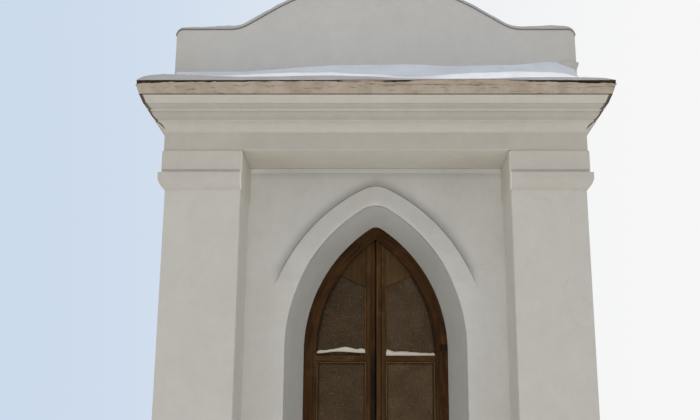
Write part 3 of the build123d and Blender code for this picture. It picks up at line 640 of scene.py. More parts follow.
# Stained softwood: fibres drawn out along the grain, darker late rings, rubbed lighter patches. Round an
# arc the grain follows the angle about the arc's centre.
def stainedTimber(name, s, grainAlong="Z", arcCentreX=None):
    shader, coords = newFinish(name)
    grain = coords
    if arcCentreX:
        x, y, z = addNode("ShaderNodeSeparateXYZ", {0: coords}).outputs
        across = combine("SUBTRACT", x, arcCentreX)
        upward = combine("SUBTRACT", z, springingZ)
        around = {"X": hypotenuse(across, upward), "Y": y, "Z": combine("ARCTAN2", upward, across)}
        grain = addNode("ShaderNodeCombineXYZ", around).outputs[0]

    def alongGrain(share):
        return tuple(share if axis == grainAlong else 1.0 for axis in "XYZ")

    fibres = noiseField(grain, 220, 4, 0.6, stretch=alongGrain(0.035))
    rings = noiseField(grain, 38, 3, 0.5, stretch=alongGrain(0.09))
    color = mixColor(remap(rings, 0.38, 0.62, 0, s.get("ringTone", 1.0), smooth=True), s["color"], s["dark"])
    color = mixColor(patches(coords, (5, 6, 0.65), 0.5, 0.68, 0, s["rubbed"]), color, s["pale"])
    if "tints" in s:
        color = applyTints(color, measures(coords), s["tints"])
    feed(shader, {
        "Base Color": scaleColor(color, remap(fibres, 0.3, 0.7, 0.72, 1.28)),
        "Roughness": remap(fibres, 0.3, 0.7, 0.62, 0.85),
        "Specular IOR Level": 0.12,
        "Normal": addBumps((rings, 0.0022), (fibres, 0.0012)),
    })


railDrop = 0.06  # the cross rail's middle under the springing
railHalf = 0.024
railTopZ = springingZ - railDrop + railHalf
railFootZ = railTopZ - 2 * railHalf
patchZ = springingZ + 0.06
groove = [("X", -0.036, -0.031), ("X", 0.004, 0.002)]
underRail = [("Z", railTopZ, railTopZ - railHalf)]
jointTints = [  # painted light and shade of a broken lump at the joint of the head and the jamb, right of the doors
    (1.55, [("X", 0.545, 0.55), ("Z", patchZ, patchZ + 0.01), ("Z", patchZ + 0.08, patchZ + 0.07)]),
    (0.45, [("X", 0.535, 0.545), ("Z", patchZ - 0.07, patchZ - 0.05), ("Z", patchZ, patchZ - 0.01)]),
]
meetingTints = [
    (0.72, groove),  # painted shade in the rebate along the meeting line
    # Painted shade, deeper at the rebate's foot and round the rail.
    (0.5, groove + [("Z", railTopZ + 0.12, railTopZ - 0.02)]),
    (0.6, [("X", -0.06, -0.045), ("X", 0.012, 0.004), ("Z", railTopZ + 0.1, railTopZ - 0.1)]),
    (1.45, [("X", 0.0075, 0.0085), ("X", 0.017, 0.015), ("Z", railTopZ - 0.1, railTopZ + 0.1)]),  # painted highlight, partly rubbed
    (0.66, [("X", 0.0425, 0.0445), ("X", 0.056, 0.053)]),
]
panelCornerShade = [  # painted shade in the corners round the panels
    (0.38, [("Z", railFootZ - 0.032, railFootZ - 0.02), ("Z", railFootZ + 0.01, railFootZ)]),
    (0.4, [("aside", -stileHigh.x - 0.036, -stileHigh.x - 0.024), *underRail]),
    (0.62, [("aside", -meetingLow.x + 0.032, -meetingLow.x + 0.022), *underRail]),
    (0.5, [("outsidePanel", -0.02, -0.008), ("Z", railTopZ, railTopZ + 0.02)]),
    (0.6, [("Z", railTopZ + 0.03, railTopZ + 0.02), ("Z", railTopZ - 0.01, railTopZ)]),
    (0.6, [("overSlant", -0.014, -0.008), ("overSlant", 0.004, 0.002), ("X", 0, -0.01)]),
]
frameTimber = {
    "color": (0.0412, 0.0163, 0.0032), "dark": (0.0243, 0.0087, 0.0014), "pale": (0.0666, 0.0314, 0.0077),
    "rubbed": 0.5, "tints": jointTints,
}
leafTimber = {
    "color": (0.058, 0.0268, 0.0069), "dark": (0.035, 0.0151, 0.0035), "pale": (0.092, 0.0485, 0.0148),
    "rubbed": 0.6,
}
boardKinds = {
    "left": {
        "color": (0.051, 0.0258, 0.0078), "dark": (0.037, 0.0182, 0.0054), "pale": (0.07, 0.0399, 0.0136),
    },
    "right": {
        "color": (0.0698, 0.0391, 0.0138), "dark": (0.0514, 0.0275, 0.0096),
        "pale": (0.0892, 0.0539, 0.0213),
    },
}
panelKinds = {
    "left": {"color": (0.0611, 0.0392, 0.0211), "shade": (0.0442, 0.0276, 0.014), "tone": 1.16},
    "right": {"color": (0.0733, 0.0484, 0.0266), "shade": (0.0545, 0.0343, 0.0179), "tone": 1.2},
}
panelBase = {  # weathered board: soft dents, flecks of lifted surface, grey-brown clouds
    "clouds": ((6, 7, 0.65), 0.35, 0.65),
    "speckle": ((95, 5, 0.7), 0.32, 0.68, 0.72, 1.28),
    "stains": [((0.208, 0.176, 0.124), ((75, 6, 0.7), 0.57, 0.66, 0, 0.8)),
               ((0.0144, 0.0088, 0.0048), ((60, 5, 0.7, (1, 1, 1), (3, 1, 5)), 0.62, 0.72, 0, 0.75))],
    "roughness": 0.85,
    "bumps": [((32, 8, 0.7), 0.01), ((110, 4, 0.7), 0.005)],
    "shader": {"Specular IOR Level": 0.12},
}
stainedTimber("frame_upright", frameTimber)
stainedTimber("leaf_upright", leafTimber)
stainedTimber("leaf_level", leafTimber, grainAlong="X")
stainedTimber("meeting_upright", {**leafTimber, "tints": meetingTints})
# Beads paler than the leaves: partly painted highlight along the panel edges.
stainedTimber("bead_timber_and_highlight", {**leafTimber, "color": (0.12, 0.067, 0.023), "dark": (0.088, 0.047, 0.015)})
for side, sign in sides.items():
    stainedTimber(f"frame_arc_{side}", frameTimber, arcCentreX=-sign * archCentreX)
    stainedTimber(f"leaf_arc_{side}", leafTimber, arcCentreX=-sign * archCentreX)
    stainedTimber(f"board_{side}", {**boardKinds[side], "rubbed": 0.4, "ringTone": 0.5})
    kind = panelKinds[side]
    layeredFinish(f"panel_{side}", {**panelBase, **kind, "tints": [(kind["tone"], underRail), *panelCornerShade]})
    paint(f"frame_arc_{side}", f"frame_head_{side}")
    paint(f"leaf_arc_{side}", f"leaf_{side}_arch_rail")
    paint(f"panel_{side}", f"leaf_{side}_panels")
    paint(f"board_{side}", f"leaf_{side}_head_board")
paint("frame_upright", "frame_jambs")
paint("leaf_upright", "leaf_*_hinge_stile")
paint("meeting_upright", "leaf_*_meeting_stile")
paint("leaf_level", "leaf_*_rails")
print("finishes made:", len(finishes))


# Top slab of the cornice, weathered: it stands for the plain CAD slab

slab = {
    "step": 0.01,  # spacing of points round the edge
    "faceRows": 26,
    "cornerRadius": 0.012,
    "draft": 0.038,  # how far the face leans in at its foot
    "innerInset": 0.55,
    "dripHeight": 0.006,
    "dripDepth": 0.01,
    # The broken top edge at places along the front: how far down the face has gone, and how far in
    "at": (-1.94, -1.9, -1.73, -1.09, -0.61, -0.37, -0.24, 0.03, 0.19, 0.32, 0.5, 1.05, 1.16, 1.48, 1.72,
           1.9, 1.94),
    "drop": (0.042, 0.038, 0.024, 0.019, 0.016, 0.015, 0.02, 0.022, 0.024, 0.014, 0.006, 0.006, 0.02,
             0.024, 0.028, 0.036, 0.042),
    "depth": (0.018, 0.018, 0.015, 0.014, 0.013, 0.012, 0.004, 0.005, 0.013, 0.006, 0.002, 0.002, 0.009,
              0.017, 0.024, 0.02, 0.02),
    "rotDepth": 0.011,  # where the break goes this far in, it is all rotten
    "raggedDrop": 0.16,
    "raggedDepth": 0.3,
    "topSink": 0.0004,
    "dent": 0.0016,
    "crackDrop": 0.041,  # a crack along the face, under its top
    "crackHalf": 0.0045,
    "crackDepth": 0.003,
    "crackFrom": -0.1,
    "crackTo": 1.15,
}


# Points of a rectangle with quarter-circle corners, anticlockwise from the front left, evenly spaced.
def roundedRectangle(halfX, halfY, radius, step):
    corners, outline = [], []
    for signX, signY, start in ((-1, -1, 180), (1, -1, 270), (1, 1, 0), (-1, 1, 90)):
        turn = np.radians(start + np.linspace(0, 90, 5))
        middle = np.array([signX * (halfX - radius), signY * (halfY - radius)])
        corners.append(middle + radius * np.stack([np.cos(turn), np.sin(turn)], -1))
    for corner, following in zip(corners, corners[1:] + corners[:1]):
        way = following[0] - corner[-1]
        count = int(np.linalg.norm(way) / step)
        outline += [corner, corner[-1] + way * np.linspace(0, 1, count + 1)[1:-1, None]]
    return np.concatenate(outline)


# Section carried round the outline. Its outer edge follows, from the foot: a drip groove, a face that leans
# out, and a broken strip along the top. The strip's drop and depth are read off along the front, and on the
# other sides the same values run on round the slab, all roughened by noise.
def makeWornSlab(s):
    halfX, halfY = slabHigh.x, slabHigh.y
    low, high = slabLow.z, slabHigh.z
    x, y = roundedRectangle(halfX, halfY, s["cornerRadius"], s["step"]).T
    ragged = fractalNoise(pointsAt(x, y, 0), 0.05, 4, 11)
    along = np.where(np.abs(y) > halfY - s["cornerRadius"], x, y * halfX / halfY)
    drop = np.interp(along, s["at"], s["drop"]) * (1 + s["raggedDrop"] * ragged)
    depth = np.interp(along, s["at"], s["depth"]) * (1 + s["raggedDepth"] * ragged)
    rot = np.clip(depth / s["rotDepth"], 0.0, 1.0) ** 1.2
    crackShare = smoothStep(s["crackFrom"], s["crackFrom"] + 0.25, along)
    crackShare = crackShare * smoothStep(s["crackTo"], s["crackTo"] - 0.2, along)
    rows, wearAndShade = [], []

    def addRow(inset, z, wearAndShadeHere=0.0):
        rows.append(pointsAt(x * (1 - inset / halfX), y * (1 - inset / halfY), z))
        wearAndShade.append(np.broadcast_to(wearAndShadeHere, x.shape))

    foot, dripTop = s["draft"], low + s["dripHeight"]
    addRow(s["innerInset"], low)
    # The drip groove is painted dark: painted shade.
    addRow(foot + s["dripDepth"], low, 1.0)
    addRow(foot + s["dripDepth"], low + s["dripHeight"] * 0.6, 1.0)
    addRow(foot + 0.001, dripTop, 0.5)
    top = high - s["topSink"]
    faceLow, faceHigh = dripTop + 0.001, top - drop
    for share in np.linspace(0, 1, s["faceRows"]):
        z = faceLow + (faceHigh - faceLow) * share
        lean = foot * (1 - (z - low) / (high - low))
        at = pointsAt(x, y, z * 3)
        dent = s["dent"] * (1 + fractalNoise(at, 0.12, 4, 5)) * math.sin(math.pi * share) ** 0.3
        offCrack = np.abs(z - (top - s["crackDrop"]) + 0.003 * ragged) / s["crackHalf"]
        patchy = np.clip(0.75 + 0.6 * fractalNoise(at, 0.09, 3, 31), 0, 1)
        crack = np.clip(1.4 - offCrack, 0, 1) * crackShare * patchy
        addRow(lean + dent + s["crackDepth"] * crack, z, 0.55 * crack)
    addRow(depth * 0.5, faceHigh + drop * 0.04, 0.8 * rot)
    addRow(depth, faceHigh + drop * 0.15, rot)
    addRow(depth * 0.9, faceHigh + drop * 0.6, rot)
    addRow(depth * 0.8 + 0.001 * (1 + ragged), top - 0.001, rot)
    addRow(depth * 0.8 + 0.012, top, 0.4)
    addRow(0.1, top)
    addRow(s["innerInset"], top)
    piece = surfaceFrom("worn_cornice_slab", [np.stack(rows)], "worn_edge", sharp=55,
                        wrapU=True, attributes={"wearAndShade": np.stack(wearAndShade)})
    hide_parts("cornice_slab")


makeWornSlab(slab)
print("top slab weathered")


# Snow on the ledge of the cornice, drifted against the parapets

ledgeSnow = {
    # At places along the front: height of the lip, of the crest behind it and of the drift at the parapet,
    # how clean and lit the crest is, and how soaked and shaded the lip, partly painted light and painted
    # shade
    "at": (-1.94, -1.88, -1.73, -1.43, -1.25, -1.09, -0.77, -0.61, -0.37, 0.03, 0.2, 0.36, 0.52, 0.68,
           1.00, 1.16, 1.32, 1.44, 1.55, 1.66, 1.8, 1.94),
    "lip": (0.012, 0.034, 0.052, 0.044, 0.032, 0.029, 0.033, 0.04, 0.042, 0.032, 0.015, 0.009, 0.009, 0.01,
            0.014, 0.024, 0.026, 0.027, 0.027, 0.025, 0.022, 0.01),
    "crest": (0.02, 0.06, 0.1, 0.105, 0.11, 0.116, 0.132, 0.142, 0.14, 0.124, 0.104, 0.097, 0.114, 0.134,
              0.147, 0.149, 0.147, 0.145, 0.134, 0.094, 0.06, 0.018),
    "drift": (0.1, 0.15, 0.2, 0.206, 0.204, 0.207, 0.234, 0.25, 0.264, 0.274, 0.274, 0.268, 0.258, 0.258,
              0.268, 0.266, 0.284, 0.298, 0.294, 0.24, 0.15, 0.1),
    "cleanAndLit": (0, 0, 0, 0.15, 0.6, 0.85, 1, 1, 1, 0.85, 0.5, 0.35, 0.75, 1, 1, 1, 1, 1, 1, 1, 0.8, 0.5),
    "soakedAndShaded": (1, 1, 1, 0.6, 0.15) + (0,) * 17,
    "hang": 0.005,  # how far the lip hangs down over the slab's broken edge
    "hangDepth": 0.012,  # where the edge is broken at least this deep
    "reach": 0.03,  # from the lip's front to the top of its round
    "crestShare": 0.52,  # of the way from the lip to the parapet
    "moundShare": 0.4,
    "endRun": 0.1,
    "endInset": 0.013,  # its ends stay on the sound part of the slab
    "least": 0.0006,
    "leastLip": 0.0008,
    "leastStep": 0.0004,
    "backGap": 0.001,
    "columns": 560,
    "bunching": 0.49,  # of a half turn: the columns stand closer towards both ends
    "window": 15,  # of the running mean that smooths the values above
    "seed": 41,
}
backLedgeSnow = {
    **ledgeSnow,
    "at": (-1.94, -1.6, -0.5, 0.6, 1.6, 1.94),
    "lip": (0.02, 0.04, 0.05, 0.03, 0.04, 0.02),
    "crest": (0.03, 0.1, 0.13, 0.1, 0.12, 0.03),
    "drift": (0.08, 0.18, 0.17, 0.22, 0.19, 0.08),
    "cleanAndLit": (0, 0.6, 1, 0.8, 0.6, 0),
    "soakedAndShaded": (1, 0.2, 0, 0, 0.2, 1),
    "seed": 91,
}


# Closed section along X: a lip with a superellipse round, a slope up to the crest, a steeper drift up to the
# parapet, and a flat underside. Past the parapet's ends it is a low mound that rounds off at the back.
def makeLedgeSnow(name, side, s):
    depth = slabHigh.y + parapetLow.y - s["backGap"]
    halfX = slabHigh.x - s["endInset"]
    t = np.linspace(-1, 1, s["columns"])
    x = halfX * np.sin(t * math.pi * s["bunching"]) / math.sin(math.pi * s["bunching"])

    def readAlong(key):
        values = np.pad(np.interp(x, s["at"], s[key]), s["window"] // 2, mode="edge")
        return np.convolve(values, np.ones(s["window"]) / s["window"], "valid")

    rough = noiseAlong(x, 0.35, 4, s["seed"])
    fine = noiseAlong(x, 0.06, 3, s["seed"] + 9)
    ending = np.sqrt(np.clip(1 - (1 - np.clip((halfX - np.abs(x)) / s["endRun"], 0, 1)) ** 2, 0, 1))
    lip = np.maximum(readAlong("lip") * (1 + 0.06 * rough + 0.05 * fine) * ending, s["leastLip"])
    crest = np.maximum(readAlong("crest") * (1 + 0.03 * rough) * ending, lip + s["leastStep"])
    drift = np.maximum(readAlong("drift") * (1 + 0.015 * rough) * ending, crest + s["leastStep"])
    beside = smoothStep(parapetHigh.x + 0.03, parapetHigh.x - 0.02, np.abs(x))
    inset = 0.003 + 0.003 * (1 + fine) + 0.02 * (1 - ending)
    broken = np.interp(x, slab["at"], np.clip(slab["depth"], 0, s["hangDepth"])) / s["hangDepth"]
    hang = s["hang"] * broken * ending
    cleanAndLit, soakedAndShaded = readAlong("cleanAndLit"), readAlong("soakedAndShaded")
    rows, cleanAndLitRows, soakedAndShadedRows = [], [], []

    def addRow(w, h, cleanAndLitHere, soakedAndShadedHere):
        rows.append(pointsAt(x, side * (slabHigh.y - w), slabHigh.z + h))
        cleanAndLitRows.append(np.broadcast_to(cleanAndLitHere, x.shape))
        soakedAndShadedRows.append(np.broadcast_to(soakedAndShadedHere, x.shape))

    for angle in np.radians([0, 12, 26, 42, 58, 74, 90]):
        w = inset + s["reach"] * (1 - math.cos(angle) ** 0.55)
        h = -hang + (lip + hang) * math.sin(angle) ** 0.75
        # The lip's front is grey, soaked and painted shade, whiter towards its top.
        addRow(w, h, cleanAndLit * math.sin(angle) ** 4, np.maximum(1 - math.sin(angle) ** 6, soakedAndShaded))
    start = inset + s["reach"]
    mound = s["moundShare"]
    for share in np.linspace(0.05, 1, 22):
        climb = np.minimum(share / s["crestShare"], 1)
        steep = np.clip((share - s["crestShare"]) / (1 - s["crestShare"]), 0, 1)
        against = lip + (crest - lip) * (1 - (1 - climb) ** 1.25) + (drift - crest) * steep**1.25
        alone = crest * np.sqrt(np.clip(1 - (abs(share - mound) / (1 - mound)) ** 2.6, 0.0, 1))
        rising = smoothStep(0.0, 0.35, share) if share < mound else 1
        alone = np.maximum(lip + (alone - lip) * rising, s["least"])
        ripple = fractalNoise(pointsAt(x, share * depth, 0), 0.2, 3, s["seed"] + 20)
        ripple = 0.004 * ripple * min(1, 4 * (1 - share)) * ending
        h = np.maximum(alone + (against - alone) * beside + ripple, s["least"])
        # The crest is clean white; the drift behind it is painted shade.
        freshAndLit = smoothStep(1.0, 0.75, share / s["crestShare"] + 0.1 * rough)
        addRow(start + (depth - start) * share, h, cleanAndLit * freshAndLit, soakedAndShaded * smoothStep(0.11, 0.06, h))
    addRow(depth, 0, 0, 0)
    addRow(depth * 0.5, 0, 0, 0)
    addRow(inset + s["reach"] * 0.8, 0, 0, 1)
    snowFrom(name, [np.stack(rows, 1)], np.stack(cleanAndLitRows, 1), np.stack(soakedAndShadedRows, 1))


makeLedgeSnow("snow_on_front_ledge", -1, ledgeSnow)
makeLedgeSnow("snow_on_back_ledge", 1, backLedgeSnow)
print("snow laid on the ledges")


# Snow on the copings of the two gable parapets

gable = {
    "shoulderLength": 0.448,
    "shoulderRadius": 0.3,
    "slope": math.radians(32),
    "straightRun": 0.216,
    "cornerRadius": 0.06,
    "overhang": 0.006,
    "copingThickness": 0.008,
}
copingSnow = {
    "thickness": 0.041,
    "bareHalf": 0.17,  # the wind keeps the top of the crown bare
    "thinRun": 0.16,
    "columns": 260,
    "sectionRows": 17,
    "endShare": 0.9997,  # of the coping's length
    "overFaces": 0.004,  # past the faces of the gable
    "seed": 71,
    "sink": 0.001,
}


# Rise of the gable over its shoulders: level, a hollow arc, a straight slope, and a round crown.
def gableRise(x, g):
    away = np.abs(x)
    bend = g["shoulderRadius"]
    sine, cosine, tangent = math.sin(g["slope"]), math.cos(g["slope"]), math.tan(g["slope"])
    shoulderX = parapetHigh.x - g["shoulderLength"]
    hollowX = shoulderX - bend * sine
    crownX = hollowX - g["straightRun"]
    crownRadius = crownX / sine
    hollowRise = bend * (1 - cosine)
    crownRise = hollowRise + g["straightRun"] * tangent
    hollow = bend - np.sqrt(np.clip(bend**2 - (shoulderX - away) ** 2, 0, None))
    straight = hollowRise + (hollowX - away) * tangent
    crown = np.sqrt(np.clip(crownRadius**2 - away**2, 0, None)) - crownRadius * cosine + crownRise
    rise = np.where(away < crownX, crown, np.where(away < hollowX, straight, hollow))
    return np.where(away > shoulderX, 0.0, rise)


# One tube each side of the crown: its underside follows the coping, and its upper side is a flattened
# superellipse. Where a strip of it begins, next to the crown, wanders by noise from strip to strip.
def makeCopingSnow(name, side, s, g):
    endX = (parapetHigh.x + g["overhang"]) * s["endShare"]
    share = (1 - np.cos(np.linspace(0, math.pi, s["columns"]))) / 2
    shoulderZ = parapetHigh.z - float(gableRise(np.array([0.0]), g)[0]) + g["copingThickness"]
    middle = side * (abs(parapetLow.y) + abs(parapetHigh.y)) / 2
    halfDepth = abs(abs(parapetLow.y) - abs(parapetHigh.y)) / 2 + s["overFaces"]
    radius = g["cornerRadius"]
    grids, soakedAndShaded = [], []
    for sign in (-1, 1):
        rows, soakedAndShadedRows = [], []
        for turn, across, lift in archedSection(s["sectionRows"], 0.35, 0.6):
            wander = noiseAlong(np.array([turn + 5.0 * sign]), 0.9, 3, s["seed"] + 2)[0]
            start = s["bareHalf"] * (1 + 0.35 * wander)
            x = start + (endX - start) * share
            over = np.clip(x - (endX - radius), 0, radius)
            base = np.minimum(shoulderZ + gableRise(x, g), cadHigh.z) - s["sink"]
            base = base - (radius - np.sqrt(radius**2 - over**2))
            uneven = 1 + 0.18 * noiseAlong(sign * x, 0.3, 3, s["seed"])
            uneven = uneven + 0.08 * noiseAlong(sign * x, 0.06, 3, s["seed"] + 5)
            outerEnd = np.sqrt(np.clip(1 - (x / endX) ** 30, 0.0004, 1))
            innerEnd = np.sqrt(1 - (1 - np.clip((x - start) / s["thinRun"], 0.0004, 1)) ** 2)
            thickness = s["thickness"] * uneven * outerEnd * innerEnd
            thickness = np.minimum(thickness, cadHigh.z - base - s["sink"] / 3)
            rows.append(pointsAt(sign * x, middle + side * halfDepth * across, base + thickness * lift))
            # Greyer towards its underside: painted shade.
            soakedAndShadedRows.append(np.full_like(x, 1 - 0.85 * lift**4))
        grids.append(np.stack(rows, 1))
        soakedAndShaded.append(np.stack(soakedAndShadedRows, 1))
    soakedAndShaded = np.stack(soakedAndShaded)
    snowFrom(name, grids, np.zeros(soakedAndShaded.shape), soakedAndShaded)


makeCopingSnow("snow_on_front_coping", -1, copingSnow, gable)
makeCopingSnow("snow_on_back_coping", 1, {**copingSnow, "seed": 83}, gable)
print("snow laid on the copings")


# A crust of broken plaster at the right foot of the front gable

crust = {
    "reach": 0.15,  # along the face of the gable, from its corner
    "cornerRadius": 0.012,
    "foot": 0.205,  # over the ledge
    "top": 0.29,
    "proud": 0.021,
    "ragged": 0.006,
    "endGap": 0.004,  # it stops short of the gable's back
    "profile": ((0, 0), (0.2, 0.12), (0.45, 0.35), (0.7, 0.68), (0.88, 0.96), (0.96, 1), (1, 0.8)),
    "seed": 63,
}


# A profile carried round the corner, from the face to the end: its share of the height and its share of the
# projection. Noise makes it uneven, and it thins to nothing at both its ends.
def makeFootCrust(s):
    radius, cornerX, faceY = s["cornerRadius"], parapetHigh.x, parapetLow.y
    face = np.linspace(radius - s["reach"], 0, 30)[:-1]
    end = np.linspace(0, parapetHigh.y - s["endGap"] - faceY - radius, 40)[1:]
    turn = np.radians(np.concatenate([0 * face, np.linspace(0, 90, 7), 0 * end + 90]))
    normalX, normalY = np.sin(turn), -np.cos(turn)
    x = cornerX - radius + radius * normalX
    y = faceY + radius + radius * normalY
    x[: len(face)] += face
    y[-len(end):] += end
    run = np.concatenate([[0], np.cumsum(np.hypot(np.diff(x), np.diff(y)))])
    ending = np.sqrt(np.clip(1 - np.abs(2 * run / run[-1] - 1) ** 6, 0, 1))
    uneven = (1 + 0.3 * noiseAlong(run, 0.06, 4, s["seed"])) * ending
    ragged = s["ragged"] * noiseAlong(run, 0.09, 3, s["seed"] + 20)
    rows = []
    for level, share in ((0, -0.3), *s["profile"], (1, -0.3)):  # its first and last rows lie in the plaster
        out = s["proud"] * share * (uneven if share > 0 else 1)
        z = slabHigh.z + s["foot"] + (s["top"] - s["foot"]) * level + ragged
        rows.append(pointsAt(x + normalX * out, y + normalY * out, z))
    surfaceFrom("gable_foot_crust", [np.stack(rows, 1)], "parapet_plaster")


makeFootCrust(crust)
print("crust set at the foot of the gable")


# Snow lodged on the cross rails of the doors

railSnowBase = {
    "columns": 160,
    "thick": 0.021,
    "thin": 0.014,  # where it clings to the panel over the rail
    "clearance": 0.001,
    "edge": 0.002,  # thickness of its top edge
}
railSnow = {
    "left": {  # heights over the rail from the left: of the snow's top and of its foot
        "top": (0.047, 0.049, 0.05, 0.058, 0.065, 0.072, 0.079, 0.068, 0.057, 0.064, 0.054),
        "foot": (0.021, 0.023, 0.028, 0.034, 0.037, 0.036, 0.034, 0.031, 0.028, 0.025, 0.024),
        "seed": 5,
    },
    "right": {
        "top": (0.07, 0.052, 0.036, 0.038, 0.037, 0.033, 0.03, 0.027, 0.025, 0.024, 0.033),
        "foot": (0.0004,) * 11,
        "seed": 8,
    },
}


# A wedge between the rail and the panel: a bulging front and a thin top edge against the panel.
def makeRailSnow(side, s):
    low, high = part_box(f"leaf_{side}_rails")
    share = np.linspace(0, 1, s["columns"])
    x = low.x + s["clearance"] + (high.x - low.x - 2 * s["clearance"]) * share
    known = np.linspace(0, 1, len(s["top"]))
    rounded = np.sqrt(np.clip(1 - np.abs(2 * share - 1) ** 24, 0.001, 1))
    foot = np.interp(share, known, s["foot"])
    uneven = 1 + 0.08 * noiseAlong(x, 0.05, 3, s["seed"])
    height = (np.interp(share, known, s["top"]) - foot) * uneven * rounded
    thick = np.where(foot > 0.01, s["thin"], s["thick"]) - s["edge"]
    footZ = railTopZ + foot
    rows, soakedAndShaded = [], []
    for level in np.linspace(0, 1, 9):
        bulge = math.sin(math.pi * min(level * 0.75 + 0.25, 1)) ** 0.5
        z = footZ + height * level
        lift = 0.0012 * fractalNoise(pointsAt(x, level, z), 0.02, 3, s["seed"] + 3)
        rows.append(pointsAt(x, panelFrontY - s["clearance"] - thick * bulge * rounded + lift, z))
        # Greyer towards its foot, soaked and painted shade.
        soakedAndShaded.append(np.full_like(x, 0.7 * (1 - level) ** 3))
    back = panelFrontY - 0.0008
    rows += [pointsAt(x, back, footZ + height * 0.97), pointsAt(x, back, footZ)]
    soakedAndShaded += [np.zeros_like(x), np.ones_like(x)]
    snowFrom(f"snow_on_{side}_rail", [np.stack(rows, 1)], np.ones((len(x), len(rows))), np.stack(soakedAndShaded, 1),
             "shaded_rail_snow", f"leaf_{side}")


for side, settings in railSnow.items():
    makeRailSnow(side, {**railSnowBase, **settings})
print("snow laid on the door rails")


# Beads round the panels of the doors

bead = {
    "width": 0.014,
    "proud": 0.012,
    "slantWidth": 0.006,
    "slantProud": 0.014,
    "slantEndX": 0.285,  # where the head board's lower edge meets the arched rail
    "gap": 0.0006,
    "clearance": 0.0003,
}
railLevels = np.unique(np.round([vertex.co.z for vertex in nodes["leaf_left_rails"].data.vertices], 4))


# A half-round section carried along a straight path in the plane of the panels: at each point it stands
# across the path, from the path inwards by the bead's width.
def beadGrid(start, end, width, proud, clearance):
    path = np.array(start) + (np.array(end) - np.array(start)) * np.linspace(0, 1, 6)[:, None]
    ahead = np.gradient(path, axis=0)
    ahead = ahead / np.linalg.norm(ahead, axis=1)[:, None]
    inward = np.stack([-ahead[:, 1], ahead[:, 0]], -1)
    rows = []
    for turn in np.linspace(0, math.pi, 9):
        at = path + inward * width * (1 - math.cos(turn)) / 2
        out = panelFrontY - clearance - proud * math.sin(turn) ** 0.7
        rows.append(pointsAt(at[:, 0], out, at[:, 1]))
    return np.stack(rows, 1)


def makeBeads(side, s):
    gap, width = s["gap"], s["width"]
    inner, outer = -meetingLow.x + gap, -stileHigh.x - gap
    left, right = inner + width, outer - width
    bottomTop, lockLow, lockTop, midLow, midTop = railLevels[-5:]
    paths = []
    for low, high in ((bottomTop + gap, lockLow - gap), (lockTop + gap, midLow - gap)):
        paths.append(((inner, high), (inner, low)))
        paths.append(((outer, low), (outer, high)))
        paths.append(((right, high), (left, high)))
        paths.append(((left, low), (right, low)))
    slantZ = headBoard["lowZ"] - meetingLow.x * headBoard["slope"] - gap
    paths.append(((inner, slantZ), (inner, midTop + gap)))
    grids = [beadGrid(start, end, width, s["proud"], s["clearance"]) for start, end in paths]
    if side == "right":
        endZ = headBoard["lowZ"] + s["slantEndX"] * headBoard["slope"] - gap
        slanting = ((s["slantEndX"], endZ), (inner, slantZ))
        grids.append(beadGrid(*slanting, s["slantWidth"], s["slantProud"], s["clearance"]))
    for grid in grids:
        grid[..., 0] *= sides[side]
    surfaceFrom(f"beads_{side}", grids, "bead_timber_and_highlight", f"leaf_{side}")


for side in sides:
    makeBeads(side, bead)
print("beads set round the panels")


# Standing seams of the metal roof, and the snow that lies on it

roofSnow = {
    "thickness": 0.055,
    "eaveBare": 0.16,
    "columns": 150,
    "rows": 90,
    "sideRun": 0.07,  # how far from its edges it reaches its thickness
    "lowRun": 0.09,
    "seamSwell": 0.012,
    "seamSpread": 0.05,
    "capRise": 0.012,  # it lies over the ridge cap
    "seed": 17,
}
seam = {"count": 7, "height": 0.026, "width": 0.01, "capGap": 0.004, "eaveGap": 0.012, "clearance": 0.0003}
roofPoints = np.array([vertex.co for vertex in nodes["roof_right"].data.vertices])
eaveX = roofPoints[:, 0].max()
eaveZ = roofPoints[roofPoints[:, 0] > eaveX - 0.002, 2].max()
ridgeZ = roofPoints[:, 2].max()
roofSlope = (ridgeZ - eaveZ) / (eaveX - roofPoints[roofPoints[:, 2] > ridgeZ - 0.002, 0].max())
roofHalfY = roofPoints[:, 1].max()
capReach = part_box("ridge_cap")[1].x
seamYs = np.linspace(-roofHalfY, roofHalfY, seam["count"] + 2)[1:-1]


# Height of the roof's top face at a distance from the ridge.
def roofHeight(x):
    return eaveZ + (eaveX - np.abs(x)) * roofSlope


# Each seam is a rib with a rounded top that runs down the slope.
def makeSeams(side, sign, s):
    x = np.linspace(capReach + s["capGap"], eaveX - s["eaveGap"], 20)
    grids = []
    for y in seamYs:
        rows = []
        for _, across, lift in archedSection(9, 0.4, 0.4):
            z = roofHeight(x) + (s["height"] * lift + s["clearance"])
            rows.append(pointsAt(sign * x, y + across * s["width"] / 2, z))
        grids.append(np.stack(rows, 1))
    surfaceFrom(f"roof_seams_{side}", grids, "roof_sheet")


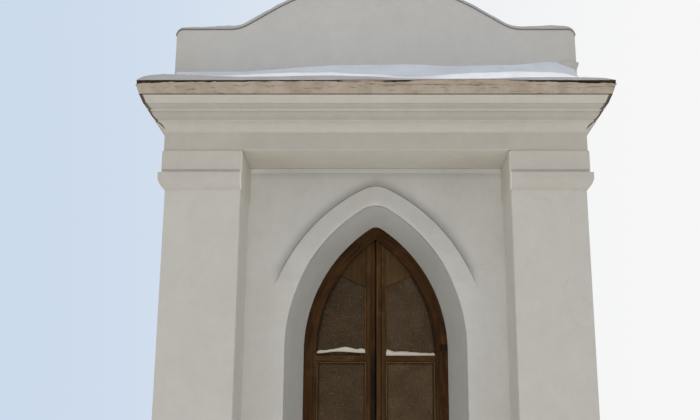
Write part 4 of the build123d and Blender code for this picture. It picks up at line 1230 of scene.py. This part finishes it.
# Blanket over the slope: a height field whose thickness is a superellipse of the way to its nearest edge.
# Its lower edge wanders by noise, and it swells a little over each seam.
def makeRoofSnow(side, sign, s):
    halfY = roofHalfY - 0.004
    ridgeGap = 0.0003
    down = np.linspace(0, 1, s["rows"])[:, None]
    y = np.linspace(-1, 1, s["columns"])[None, :] * halfY
    wander = noiseAlong(y[0], 0.5, 4, s["seed"] + sign)[None, :]
    lowest = eaveX - s["eaveBare"] * (1 + 0.5 * wander)
    x = ridgeGap + (lowest - ridgeGap) * down
    rough = fractalNoise(pointsAt(sign * x, y, 0), 0.5, 4, s["seed"] + 3)
    sideEdge = np.clip((1 - np.abs(y) / halfY) * roofHalfY / s["sideRun"], 0, 1)
    lowEdge = np.clip((lowest - x) / s["lowRun"], 0, 1)
    ending = np.sqrt(1 - (1 - np.minimum(sideEdge, lowEdge)) ** 2)
    thickness = s["thickness"] * (1 + 0.22 * rough) * np.maximum(ending, 0.02)
    for at in seamYs:
        thickness = thickness + s["seamSwell"] * np.exp(-(((y - at) / s["seamSpread"]) ** 2)) * ending
    under = roofHeight(x) + s["capRise"] * (x < capReach + 0.01)
    top = pointsAt(sign * x, y, under + thickness)
    base = pointsAt(sign * x, y, under + 0.0004)
    grid = np.concatenate([top, base[:, ::-1]], 1)
    soakedAndShaded = smoothStep(0.5, 0.1, np.concatenate([ending, ending[:, ::-1]], 1)) * 0.5
    snowFrom(f"snow_on_{side}_roof", [grid], np.full(soakedAndShaded.shape, 0.6), soakedAndShaded)


for side, sign in sides.items():
    makeSeams(side, sign, seam)
    makeRoofSnow(side, sign, roofSnow)
print("roof seamed and snowed over")


# Floor

def makeFloor(v):
    half = v["floorSize"] / 2
    mesh = bpy.data.meshes.new("floor")
    corners = [(-half, -half, 0), (half, -half, 0), (half, half, 0), (-half, half, 0)]
    mesh.from_pydata(corners, [], [(0, 1, 2, 3)])
    feed(newFinish("pale_floor")[0], {"Base Color": (*v["floorColor"], 1), "Roughness": 0.95})
    mesh.materials.append(finishes["pale_floor"])
    addToScene("floor", mesh)


makeFloor(light)
